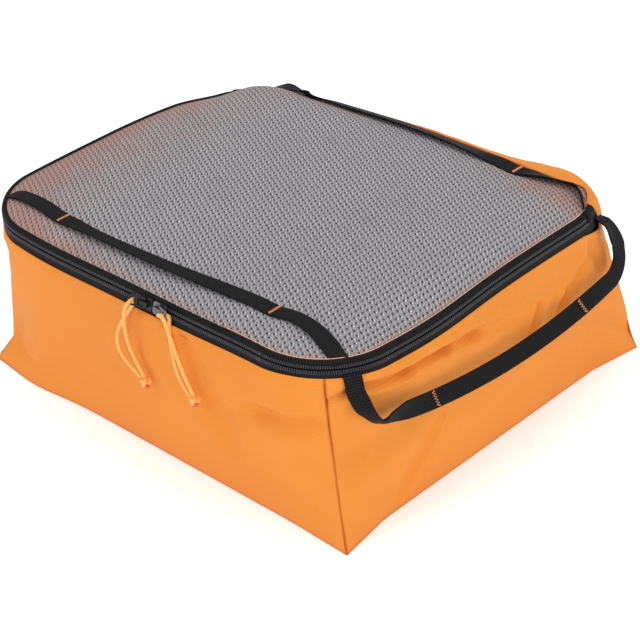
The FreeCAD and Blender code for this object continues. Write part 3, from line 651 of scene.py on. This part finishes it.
def wall_points(name, u, share=WALL_SHARES):
    """Outer points of a wall with its belly and folds, their flat-cut coordinates, and nearness to a seam.

    held is 0 at the floor and at the rim, where the cloth is sewn and can't move, and 1 between them.
    """
    points = wall_surface(u, share)
    normals = grid_normals(points)
    middle, sign, offset = PANEL_MIDDLE[name]
    along = sign * (lengths_along(u) - lengths_along(middle)) + offset
    height = points[..., 2]
    along = np.broadcast_to(along, height.shape)
    held = ease(height / 0.018) * ease((points[-1:, :, 2] - height) / 0.0045)
    start, end = PANELS[name]
    run = lengths_along(u)
    from_seam = np.minimum(run - lengths_along(start), lengths_along(end - JUST_SHORT) - run)
    seam_hold = ease(from_seam / 0.020)[None]
    belly = np.sin(np.pi * np.clip(height / WALL_TOP_Z, 0, 1)) * ease(from_seam / 0.110)[None]
    unevenness = 0.0011 * wavy(points, 0.034, 3.1) + 0.0005 * wavy(points, 0.013, 7.7)
    seam = np.broadcast_to(bell(from_seam, 0, 0.0010)[None], height.shape)
    outward = 0.0030 * belly + unevenness * held * seam_hold - 0.0009 * seam * held
    outward -= fold_depth(along, height, FOLDS[name]) * held * (0.35 + 0.65 * seam_hold)
    points = warp(points + normals * outward[..., None])
    points[..., 2] = np.maximum(points[..., 2], FLOOR_GAP)
    return points, pairs(run, height), seam


def make_walls(material):
    for name, (start, end) in PANELS.items():
        end = end - JUST_SHORT if end == LAP else end
        u = stations(start, end, WALL_STEP, finer_at_ends=True)
        points, uvs, seam = wall_points(name, u)
        line = np.maximum(seam * 0.8, bell(points[..., 2], 0.0, 0.0016) * 0.5)
        piece = shell(name + "_cloth", points, FABRIC, uvs, {"seam": line})
        dress(piece, material, "orange_nylon", "bag", name)


def make_rear_top(material):
    """The back panel's upper part, which folds forward over the rim and on over the edge of the mesh."""
    ends_y = ZIP_END_Y + 0.001
    u = stations(end_u(ends_y, "right") - LAP, end_u(ends_y, "left"), STRIP_STEP)
    up_rows, over_rows = 26, 10
    rows = []
    for share in np.linspace(0, 1, up_rows):
        turn = share * math.pi / 2
        reach = MESH_INSET * (1 - math.cos(turn))
        rise = (MESH_EDGE_Z + OVER_MESH - WALL_TOP_Z) * math.sin(turn) - 0.0025 * (1 - share)
        x, y = around(RIM, u, 0.0011 - 0.0004 * share - reach)
        rows.append(np.stack([x, y, np.full(len(u), WALL_TOP_Z + rise)], axis=-1))
    over = 0.0015 + 0.0165 * ease((x + 0.135) / 0.060) * ease((0.152 - x) / 0.022)
    for share in np.linspace(0, 1, over_rows + 1)[1:]:
        x, y = around(RIM, u, 0.0007 - MESH_INSET - over * share)
        rows.append(np.stack([x, y, lid_height(x, y) + OVER_MESH], axis=-1))
    points = np.array(rows)
    share = np.concatenate([np.linspace(0, 1, up_rows), np.ones(over_rows)])[:, None]
    run = lengths_along(u)
    loose = np.sin(np.pi * share) * ease((run - run[0]) / 0.02) * ease((run[-1] - run) / 0.02)
    outward = (0.0016 + 0.0022 * wavy(points, 0.040, 11.0) + 0.0008 * wavy(points, 0.012, 5.0)) * loose
    points = points + grid_normals(points) * outward[..., None]
    seam = bell(np.arange(len(points))[:, None], len(points) - 1, 1.2) * 0.7 + 0 * run
    uvs = pairs(run[None], WALL_TOP_Z + share * 0.022)
    piece = shell("back_panel_top", warp(points), FABRIC, uvs, {"seam": seam})
    dress(piece, material, "orange_nylon", "bag")


def make_base(material):
    """Flat fabric base, out to the floor line."""
    u = np.concatenate([stations(start, end, 0.006)[:-1] for start, end in PANELS.values()])
    x, y = floor_line(u)
    rings = np.linspace(1.0, 0.02, 24)
    rows, columns = len(rings), len(u)
    points = np.stack([np.outer(rings, x), np.outer(rings, y), np.zeros((rows, columns))], axis=-1)
    unevenness = np.clip(wavy(points, 0.06, 2.0), 0, 1) * (rings[:, None] < 0.96)
    points[..., 2] = 0.0003 + 0.0005 * unevenness
    top = points + np.array([0, 0, FABRIC])
    count = rows * columns
    faces = list(quads(rows, columns, closed=True, flip=True))
    faces += list(quads(rows, columns, count, closed=True))
    faces += [(c, (c + 1) % columns, count + (c + 1) % columns, count + c) for c in range(columns)]
    last = count - columns
    faces += [tuple(range(last, count))[::-1], tuple(range(count + last, 2 * count))]
    flat = points[..., :2].reshape(-1, 2)
    seam = np.broadcast_to(bell(rings, 1.0, 0.008)[:, None] * 0.6, points.shape[:2]).ravel()
    piece = link_mesh("base_cloth", np.concatenate([points.reshape(-1, 3), top.reshape(-1, 3)]), faces,
                      np.concatenate([flat, flat]), {"seam": np.concatenate([seam, seam])})
    dress(piece, material, "orange_nylon", "bag", "base_panel")


def make_bindings(material):
    """Bound seam allowances inside the bag, along the base and up the four corners."""
    u = stations(0, LAP - JUST_SHORT, 0.004)
    x, y = floor_line(u)
    outer = 1 - 0.0045 / np.hypot(x, y)
    inner = 1 - 0.0125 / np.hypot(x, y)
    rows = [np.stack([x * scale, y * scale, np.full(len(u), z)], -1) for scale, z in
            ((outer, 0.0015), (outer, 0.0034), (inner, 0.0030), (inner, 0.0013))]
    uvs = pairs(lengths_along(u)[None], np.array([0, 2, 10, 12])[:, None] / 1000)
    count = len(u)
    faces = list(quads(4, count)) + [(3 * count + c, 3 * count + c + 1, c + 1, c) for c in range(count - 1)]
    faces += [(0, count, 2 * count, 3 * count), tuple(k * count + count - 1 for k in (3, 2, 1, 0))]
    piece = link_mesh("base_binding", np.concatenate(rows), faces, uvs.reshape(-1, 2))
    dress(piece, material, "seam_binding", "bag", "base_seam_binding")
    for corner, panel in CORNERS.items():
        first_u = stations(*PANELS[panel], 0.01, True)[:2]
        root = wall_points(panel, first_u, np.linspace(0.05, 0.92, 60))[0][:, 0]
        inward = unit(root * (-1, -1, 0))
        across = np.cross(inward, (0.0, 0.0, 1.0))
        path = root + inward * BINDING_IN
        piece = ribbon("corner_binding_" + corner, path, across, BINDING_WIDTH, BINDING_T)
        dress(piece, material, "seam_binding", "bag", "seam_binding_" + corner)


# --- zipper -------------------------------------------------------------------------------
def band_grid(u, profile):
    """Points of a strip that follows the zipped edge; profile is a list of (s, n), up and off the band."""
    rows = []
    for s, n in profile:
        outward, z = off_rim(s, n)
        rows.append(np.stack([*around(RIM, u, outward), np.full(len(u), z)], -1))
    return np.array(rows)


def band_line(u, s, n):
    """The line that follows the zipped edge at one height of the band."""
    return warp(band_grid(u, [(s, n)]))[0]


def band_stations(ends_y, step):
    return stations(end_u(ends_y, "left"), end_u(ends_y, "right"), step)


def band_strip(name, ends_y, profile):
    u = band_stations(ends_y, STRIP_STEP)
    uvs = pairs(lengths_along(u)[None], np.array(profile)[:, :1])
    return shell(name, warp(band_grid(u, profile)), TAPE_T, uvs)


def raised_marks(name, ends_y, length, share, height, s, n):
    """A row of small rounded bars across the band, one every pitch, each that share of the pitch wide."""
    u = band_stations(ends_y, PITCH)[1:-1]
    half_turn = (PITCH * share / 2) * np.array([-1, -0.5, 0.5, 1])
    lift = np.array([0, 1, 1, 0]) * height
    spans = np.array([-1, -0.7, 0.7, 1]) * length / 2
    body = np.zeros((len(u), 4, 4, 3))
    per_metre = np.gradient(u, lengths_along(u))
    for i in range(4):
        for j in range(4):
            raised = 0.0 if i in (0, 3) else lift[j]
            body[:, i, j] = band_grid(u + half_turn[j] * per_metre, [(s + spans[i], n + raised)])[0]
    flat = warp(body).reshape(-1, 3)
    faces = [face for k in range(len(u)) for face in quads(4, 4, k * 16)]
    return link_mesh(name, flat, faces, flat[:, :2])


def make_zipper(tape, coil, piping, thread):
    lower = band_strip("zipper_tape_lower_cloth", ZIP_END_Y,
                       [(0.0040, -0.0009), (0.0055, -0.0006), (0.0070, -0.0003), (0.0110, 0.0),
                        (0.0138, 0.0001), (0.0141, -0.0002)])
    dress(lower, tape, "zipper_tape", "bag", "zipper_tape_lower")
    lid_end_y = FOLD_Y - FOLD_GAP
    upper = band_strip("zipper_tape_upper_cloth", lid_end_y,
                       [(0.0149, -0.0002), (0.0152, 0.0001), (0.0168, 0.0), (0.0180, -0.0006)])
    dress(upper, tape, "zipper_tape", "lid", "zipper_tape_upper")
    for level, ends_y, stitch_s, length, tooth_s, body in (
            ("lower", ZIP_END_Y, 0.0126, 0.0026, CHAIN_S - 0.0014, "bag"),
            ("upper", lid_end_y, 0.0162, 0.0022, CHAIN_S + 0.0012, "lid")):
        marks = raised_marks("zipper_stitches_" + level, ends_y, length, 0.50, 0.00050, stitch_s, 0.0001)
        dress(marks, coil, "zipper_coil", body)
        teeth = raised_marks("zipper_teeth_" + level, ends_y, 0.0030, 0.62, -0.0016, tooth_s, -0.0008)
        dress(teeth, coil, "zipper_coil", body, "zipper_coil_" + level)
    u = band_stations(lid_end_y, 0.0025)
    cord = tube("lid_piping_cord", band_line(u, PIPING_S, PIPING_N), PIPING_R * 1.12, 14)
    dress(cord, piping, "piping", "lid", "lid_piping")
    seen = u[u > THREAD_START_U]
    line = tube("lid_seam_thread", band_line(seen, PIPING_S + 0.0022, PIPING_N - 0.0013), 0.00026, 8)
    dress(line, thread, "orange_nylon", "lid")


def make_end_tabs(piping):
    """Thick rounded fabric over each zipper end."""
    sides, half_wide, half_high = 24, 0.0052, 0.0030
    angles = np.linspace(0, 2 * math.pi, sides, endpoint=False)
    profile = [(0.0160 + half_wide * math.cos(a), -0.0012 + half_high * math.sin(a)) for a in angles]
    for side in ("left", "right"):
        u = np.linspace(end_u(FOLD_Y + FOLD_GAP, side), end_u(ZIP_END_Y, side), 16)
        u = u if side == "right" else u[::-1]
        points = band_grid(u, profile)
        shrink = np.ones(len(u))
        shrink[:2], shrink[-2:] = (0.75, 0.94), (0.94, 0.75)
        centre = points.mean(0, keepdims=True)
        ring = np.moveaxis(warp(centre + (points - centre) * shrink[None, :, None]), 0, 1)
        uvs = pairs(lengths_along(u)[:, None], angles[None] * half_high)
        piece = link_mesh("zipper_end_cover_" + side, ring.reshape(-1, 3), capped(len(u), sides),
                          uvs.reshape(-1, 2))
        dress(piece, piping, "piping", "bag", "zipper_end_tab_" + side)


# --- lid ----------------------------------------------------------------------------------
def lid_height(x, y):
    """Top of the mesh: a low crown, drawn down a little along the two straps."""
    x, y = np.asarray(x, float), np.asarray(y, float)
    distance = np.maximum(edge_distance(x, y), 0)
    ramp = 1 - (1 - np.clip(distance / 0.034, 0, 1)) ** 2
    middle = (MESH_EDGE.back + MESH_EDGE.front) / 2
    reach = (MESH_EDGE.back - MESH_EDGE.front) / 2
    square = ((np.abs(x) / MESH_EDGE.half_width) ** 4 + (np.abs(y - middle) / reach) ** 4) ** 0.25
    dome = 1 - (1 - np.clip((1 - square) / 0.55, 0, 1)) ** 2
    height = MESH_EDGE_Z + CROWN_RISE * ramp * (0.50 + 0.50 * dome)
    height = height + 0.0036 * bell(x, -0.118, 0.050) * bell(y, 0.090, 0.034) * ramp
    for strap, dip, behind in ((FRONT_STRAP, 0.0010, 0.0), (REAR_STRAP, 0.0026, 0.004)):
        strap_x, strap_y = np.array(strap).T[:2]
        apart = y - np.interp(x, strap_x, strap_y) + behind
        height = height - dip * bell(apart, 0, 0.012) * ramp
        for tack_x in (-BARTACK_X, BARTACK_X):
            tack_y = np.interp(tack_x, strap_x, strap_y)
            height = height - 0.0012 * bell(np.hypot(x - tack_x, y - tack_y), 0, 0.012) * ramp
    return height


def lid_rows():
    """Values of y from the front of the mesh to its back, closer together round the corners."""
    turn = np.linspace(0, math.pi / 2, 18)
    front = MESH_EDGE.front + MESH_EDGE.front_radius * (1 - np.cos(turn))
    back = MESH_EDGE.back - MESH_EDGE.back_radius * (1 - np.cos(turn[::-1]))
    return np.concatenate([front, np.linspace(front[-1], back[0], 70)[1:-1], back])


def half_width_at(y):
    """Half the width of the mesh at y."""
    width = MESH_EDGE.half_width
    for radius, from_edge in ((MESH_EDGE.front_radius, y - MESH_EDGE.front),
                              (MESH_EDGE.back_radius, MESH_EDGE.back - y)):
        into_corner = np.clip(1 - from_edge / radius, 0, 1)
        width = width - radius * (1 - np.sqrt(1 - into_corner ** 2))
    return width


def make_lid(material):
    y = lid_rows()
    t = np.linspace(-1, 1, 121)
    x = half_width_at(y)[:, None] * t[None]
    y = np.broadcast_to(y[:, None], x.shape)
    points = np.stack([x, y, lid_height(x, y)], -1)
    distance = np.maximum(edge_distance(x, y), 0)
    ramp = ease(distance / 0.020)
    points[..., 2] += (0.0010 * wavy(points, 0.060, 21.0) + 0.0004 * wavy(points, 0.018, 9.0)) * ramp
    # Where to paint orange bounce light from the orange walls, and some painted shade, on the mesh: along its
    # edges, at the corners, down the left side and along the rear rim.
    painted_bounce_light = 0.75 * np.exp(-(distance / 0.016) ** 1.5) * ease((-x + 0.02) / 0.14)
    painted_bounce_light += 0.85 * bell(np.hypot(x - 0.135, y - 0.112), 0, 0.030)
    painted_bounce_light += 0.55 * bell(x, -0.172, 0.062) + 0.50 * bell(y, 0.128, 0.026) * ease((0.03 - x) / 0.08)
    painted_bounce_light += 0.70 * bell(np.hypot(x + 0.130, y + 0.115), 0, 0.045) * np.exp(-(distance / 0.030) ** 2)
    painted_bounce_light += 0.55 * bell(distance, 0, 0.005) + 0.35 * bell(y, 0.110, 0.020) * ease((np.abs(x) - 0.02) / 0.06)
    painted_bounce_light = np.clip(painted_bounce_light * (0.75 + 0.5 * wavy(points, 0.02, 33.0)), 0, 0.85)
    piece = shell("lid_mesh_cloth", warp(points), MESH_T, points[..., :2], {"painted_bounce_light": painted_bounce_light})
    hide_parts("lid_mesh", "rear_mesh_strip", "rear_seam_binding")
    painted(piece, material)
    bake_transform(piece)


def make_strap(node, strap, body, material, thread):
    """Webbing laid over the lid, sewn down at two bartacks and slightly proud between them."""
    x, y, lean = smooth_route(strap, 220).T
    lean = np.radians(lean)
    bow = np.clip(1 - (x / BARTACK_X) ** 2, 0, 1) ** 0.6
    outside = np.clip((np.abs(x) - BARTACK_X) / (np.abs(x).max() - BARTACK_X), 0, 1)
    z = lid_height(x, y) + OVER_MESH + 0.0008 * bow + 0.0006 * np.sin(np.pi * outside)
    z += 0.0008 * np.sin(np.abs(lean)) - 0.0020 * ease((outside - 0.75) / 0.25)
    path = warp(np.stack([x, y, z], -1))
    ahead = unit(np.gradient(path, axis=0))
    level = unit(np.cross(ahead, (0.0, 0.0, -1.0)))
    facing = np.cross(ahead, level) * np.cos(lean)[:, None] + level * np.sin(lean)[:, None]
    dress(ribbon(node + "_webbing", path, facing, WEBBING, WEBBING_T), material, "webbing", body, node)
    tacks = []
    for tack_x in (-BARTACK_X, BARTACK_X):
        i = int(np.argmin(np.abs(x - tack_x)))
        tacks.append((path[i] + facing[i] * (WEBBING_T / 2 + 0.0002), facing[i], (1.0, 0.0, 0.0)))
    stitches = bartacks(node + "_stitches", tacks, 19, 0.0009)
    dress(stitches, thread, "bartack_thread", body, node + "_bartacks")


def bartacks(name, places, turns, swing):
    """Zigzag bars of thread; each place is (centre, outward direction, direction along the webbing)."""
    half = WEBBING / 2 - 0.0011
    shares = np.linspace(-1, 1, turns)[:, None]
    swings = swing * (-1.0) ** np.arange(turns)[:, None]
    bars = []
    for k, (centre, facing, along) in enumerate(places):
        facing = unit(np.array(facing))
        along = unit(along - facing * (facing @ along))
        path = centre + np.cross(facing, along) * half * shares + along * swings
        bars.append(tube("%s_%d" % (name, k), path, THREAD_R, 6))
    return joined(name, bars)


def joined(name, pieces):
    """One object made of several meshes."""
    merged = bmesh.new()
    for piece in pieces:
        merged.from_mesh(piece.data)
        bpy.data.objects.remove(piece)
    mesh = bpy.data.meshes.new(name)
    merged.to_mesh(mesh)
    merged.free()
    return new_object(name, mesh)


# --- side handle --------------------------------------------------------------------------
HANDLE_SAG, HANDLE_LOWEST_Y = 0.0355, 0.010     # how far below its swing line it hangs, and where
HANDLE_BEND_Y, HANDLE_BEND_DROP = -0.1155, 0.0222
HANDLE_REAR_Y, HANDLE_REAR_R = 0.1156, 0.019    # where it turns up again at the rear, and how roundly
HANDLE_BARTACK_Y = (-0.083, 0.068)
HANDLE_TURN = math.radians(-27.5)     # where on the front right corner the handle comes out


def handle_hang():
    """The hanging part, as (Y, distance below the swing line): a shallow sag, then a round turn upwards."""
    turn_y = HANDLE_REAR_Y - HANDLE_REAR_R
    curve = (HANDLE_SAG - HANDLE_BEND_DROP) / (HANDLE_BEND_Y - HANDLE_LOWEST_Y) ** 2
    sag_y = np.linspace(HANDLE_BEND_Y, turn_y, 9)[:-1]
    sag = list(zip(sag_y, HANDLE_SAG - curve * (sag_y - HANDLE_LOWEST_Y) ** 2))
    turn_drop = HANDLE_SAG - curve * (turn_y - HANDLE_LOWEST_Y) ** 2 - HANDLE_REAR_R
    angles = np.linspace(math.pi / 2, 0, 5)
    arc = [(turn_y + HANDLE_REAR_R * math.cos(a), turn_drop + HANDLE_REAR_R * math.sin(a)) for a in angles]
    return sag + arc + [(HANDLE_REAR_Y, turn_drop - 0.005)]


def make_handle(material, thread):
    """One piece of webbing: out over the band's edge, rolled over at the bend, along the wall and back in."""
    tilt_x, tilt_z = math.sin(HANDLE_TILT), math.cos(HANDLE_TILT)
    hang = [(HANDLE_X + drop * tilt_x, y, HANDLE_Z - drop * tilt_z) for y, drop in handle_hang()]
    turn_x, turn_y = math.cos(HANDLE_TURN), math.sin(HANDLE_TURN)
    leg = []
    for up, out in ((0.0125, -0.0030), (0.0106, -0.0008), (0.0086, 0.0016), (0.0050, 0.0027)):
        outward, z = off_rim(up, out)
        reach = RIM.front_radius + outward
        leg.append((RIM.half_width - RIM.front_radius + reach * turn_x,
                    RIM.front + RIM.front_radius + reach * turn_y, z))
    leg = [tuple(point) for point in warp(np.array(leg))]
    bend = (0.1842, -0.1340, 0.0990)
    leg += [(0.1747, -0.1417, 0.1200), (0.1774, -0.1412, 0.1148), (0.1815, -0.1397, 0.1074), bend,
            (0.1852, -0.1277, 0.0964)]
    rear = [(0.1781, 0.1107, 0.1253), (0.1735, 0.1085, 0.1292), (0.1680, 0.1070, 0.1303)]
    path = smooth_route(leg + hang + rear, 300)
    run = run_along(path)
    past_bend = run - run[np.argmin(np.linalg.norm(path - bend, axis=1))]
    lean_y, leans = [-0.125, -0.100, -0.083, 0.068, 0.10], [5, 24, 40, 42, 26]
    lean = np.radians(np.interp(path[:, 1], lean_y, leans))
    plane = np.stack([np.cos(lean), 0 * lean, np.sin(lean)], -1)
    tilt_out = math.cos(BAND_TILT)
    band_out = np.array([turn_x * tilt_out, turn_y * tilt_out, math.sin(BAND_TILT)])
    rolled, upward = np.array([0.27, -0.89, -0.47]), np.array([0.30, 0.36, 0.88])
    facing = band_out + (rolled - band_out) * ease((past_bend + 0.026) / 0.024)[:, None]
    facing = facing + (plane - facing) * ease((past_bend + 0.004) / 0.040)[:, None]
    facing = facing + (upward - facing) * ease(1 - (run[-1] - run) / 0.026)[:, None]
    piece = ribbon("side_handle_webbing", path, facing, WEBBING, HANDLE_T)
    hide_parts("side_handle", "handle_anchor_front", "handle_anchor_rear")
    painted(piece, material)
    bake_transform(piece)
    places = []
    for y in HANDLE_BARTACK_Y:
        i = int(np.argmin(np.abs(path[:, 1] - y)))
        places.append((path[i] + plane[i] * 0.0009, plane[i], path[i + 1] - path[i - 1]))
    stitches = bartacks("side_handle_stitches", places, 11, 0.0012)
    dress(stitches, thread, "bartack_thread", "handle", "side_handle_bartacks")


# --- cords, knots and metal ---------------------------------------------------------------
# Each leg's route, from where it leaves the pull tab down to its knot.
CORDS = {
    "left_front": [(0.00854, -0.17396, 0.13567), (0.0098, -0.1772, 0.1365), (0.0094, -0.1802, 0.1346),
                   (0.0080, -0.1812, 0.1302), (0.0054, -0.1802, 0.1210), (0.0036, -0.1784, 0.1094),
                   (0.0042, -0.1768, 0.0974), (0.0086, -0.1756, 0.0870), (0.0136, -0.1748, 0.0776)],
    "left_rear": [(0.00854, -0.17396, 0.13567), (0.0074, -0.1711, 0.1349), (0.0064, -0.1705, 0.1312),
                  (0.0036, -0.1718, 0.1260), (-0.0016, -0.1740, 0.1174), (-0.0072, -0.1752, 0.1076),
                  (-0.0098, -0.1756, 0.0970), (-0.0072, -0.1754, 0.0874), (0.0006, -0.1748, 0.0806),
                  (0.0102, -0.1744, 0.0754)],
    "right_front": [(0.03846, -0.17396, 0.13567), (0.0372, -0.1772, 0.1365), (0.0396, -0.1796, 0.1394),
                    (0.0436, -0.1798, 0.1394), (0.0464, -0.1796, 0.1356), (0.0474, -0.1790, 0.1296),
                    (0.0490, -0.1782, 0.1216), (0.0512, -0.1774, 0.1126), (0.0538, -0.1766, 0.1032),
                    (0.0574, -0.1758, 0.0934), (0.0616, -0.1750, 0.0846)],
    "right_rear": [(0.03846, -0.17396, 0.13567), (0.0396, -0.1711, 0.1349), (0.0396, -0.1705, 0.1312),
                   (0.0398, -0.1718, 0.1256), (0.0422, -0.1736, 0.1170), (0.0452, -0.1750, 0.1066),
                   (0.0480, -0.1754, 0.0966), (0.0522, -0.1750, 0.0882), (0.0580, -0.1746, 0.0820)],
}
KNOTS = {"left": (0.0142, -0.1746, 0.0736), "right": (0.0620, -0.1748, 0.0806)}
KNOT_SIZE, KNOT_STRAND_R = 0.00098, 0.00135


def make_cord(name, sheath):
    route = CORDS[name]
    curve = bpy.data.curves.new("cord_" + name, "CURVE")
    curve.dimensions = "3D"
    curve.resolution_u = 10
    curve.bevel_depth = CORD_D / 2
    curve.bevel_resolution = 5
    curve.use_fill_caps = True
    spline = curve.splines.new("NURBS")
    spline.points.add(len(route) - 1)
    for point, place in zip(spline.points, route):
        point.co = (*place, 1)
    spline.order_u = 3
    spline.use_endpoint_u = True
    piece = new_object("cord_" + name, curve)
    dress(piece, sheath, "pull_cord", "pull_" + name.split("_")[0], "pull_cord_" + name)


def make_knot(side, sheath, melted):
    """A tight overhand knot with its two melted ends."""
    t = np.linspace(0, 2 * math.pi, 73)[:-1]
    loops = [np.sin(t) + 2 * np.sin(2 * t), np.cos(t) - 2 * np.cos(2 * t), -1.25 * np.sin(3 * t)]
    axis = Vector((0.45, 0.0, -0.9)).normalized()
    turn = np.array(axis.to_track_quat("Z", "Y").to_matrix())
    centre = np.array(KNOTS[side])
    path = np.stack(loops, -1) * KNOT_SIZE @ turn.T + centre
    knot = tube("cord_knot_%s_loops" % side, path, KNOT_STRAND_R, 10, closed=True)
    dress(knot, sheath, "pull_cord", "pull_" + side, "cord_knot_" + side)
    down = np.array(axis)
    across = np.array(axis.cross(Vector((0, 1, 0))))
    radii = [0.0010, 0.0017, 0.0020, 0.0019, 0.0014, 0.0005]
    blobs = []
    for sign in (-1, 1):
        start = centre + down * 0.0016 + across * (sign * 0.0011) + np.array([0, -0.0010, 0])
        blobs.append(tube("blob", [start + down * step * 0.0006 for step in range(len(radii))], radii, 12))
    ends = joined("cord_ends_%s_melted" % side, blobs)
    ends.data.polygons.foreach_set("use_smooth", [True] * len(ends.data.polygons))
    dress(ends, melted, "melted_knot", "pull_" + side)
    return knot


def make_metal(left_metal, right_metal):
    for side, material in (("left", left_metal), ("right", right_metal)):
        for node in ("slider_" + side, "pull_tab_" + side):
            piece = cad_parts[node]
            piece.data.materials.clear()
            piece.data.materials.append(material)
            bevel = piece.modifiers.new("soft_edges", "BEVEL")
            bevel.width = 0.00022
            bevel.segments = 2
            bevel.limit_method = "ANGLE"


# --- stage --------------------------------------------------------------------------------
# Each sun's place, how wide it looks, in degrees, and its strength; all point at the bag's middle.
LIGHTS = [("key", (-0.55, -1.6, 1.5), 30, 0.84),
          ("top", (0.1, 0.3, 2.2), 70, 1.45),
          ("fill", (2.0, -0.5, 1.0), 60, 0.98)]
LIT_POINT, FLOOR_HALF = (0, 0, 0.08), 6


def make_stage():
    corners = [(FLOOR_HALF * x, FLOOR_HALF * y, 0) for x, y in ((-1, -1), (1, -1), (1, 1), (-1, 1))]
    floor = link_mesh("floor", corners, [(0, 1, 2, 3)])
    n = Nodes("pale_floor", {"Roughness": 0.9, "Specular IOR Level": 0.0, "Emission Color": grey(1.0),
                             "Emission Strength": 0.28})
    floor.data.materials.append(n.finish(rgba(0.93, 0.93, 0.93)))
    world = bpy.data.worlds.new("studio")
    world.use_nodes = True
    background = world.node_tree.nodes["Background"]
    background.inputs["Color"].default_value = grey(1.0)
    background.inputs["Strength"].default_value = 0.42
    bpy.context.scene.world = world
    for name, place, angle, strength in LIGHTS:
        light = bpy.data.lights.new(name, "SUN")
        light.angle = math.radians(angle)
        light.energy = strength
        lamp = new_object(name, light)
        lamp.location = place
        lamp.rotation_mode = "QUATERNION"
        lamp.rotation_quaternion = (Vector(LIT_POINT) - Vector(place)).to_track_quat("-Z", "Y")
    bpy.context.scene.view_settings.view_transform = "Standard"


# --- everything ---------------------------------------------------------------------------
make_camera()
sheath = cord_sheath()
melted = moulded("melted_knot", rgba(0.55, 0.07, 0.02), rgba(0.82, 0.19, 0.06), 0.35)
for side in ("left", "right"):
    knot = make_knot(side, sheath, melted)
    for leg in ("front", "rear"):
        make_cord("%s_%s" % (side, leg), sheath)

nylon = orange_nylon()
tape = zipper_tape()
binding = webbing("seam_binding", 0.008, 0.020)
strap_webbing = webbing("webbing")
thread = moulded("bartack_thread", rgba(0.85, 0.25, 0.07), rgba(1.0, 0.42, 0.16), 0.5)
piping_cloth = webbing("piping", 0.003, 0.014)
coil = moulded("zipper_coil", rgba(0.020, 0.020, 0.022), rgba(0.050, 0.048, 0.054), 0.45)
pale_thread = moulded("lid_seam_thread", rgba(0.85, 0.36, 0.18), rgba(1.0, 0.62, 0.42), 0.5)
make_walls(nylon)
make_rear_top(nylon)
make_base(nylon)
make_bindings(binding)
make_zipper(tape, coil, piping_cloth, pale_thread)
make_end_tabs(piping_cloth)
make_lid(mesh_fabric())
make_strap("front_strap", FRONT_STRAP, "lid", strap_webbing, thread)
make_strap("rear_strap", REAR_STRAP, "bag", strap_webbing, thread)
make_handle(strap_webbing, thread)
black_metal = moulded("slider_metal_black", rgba(0.012, 0.012, 0.013), rgba(0.035, 0.034, 0.036), 0.32, 0.5)
bare_metal = moulded("slider_metal", rgba(0.10, 0.095, 0.10), rgba(0.20, 0.19, 0.20), 0.28, 0.9)
make_metal(black_metal, bare_metal)
make_stage()
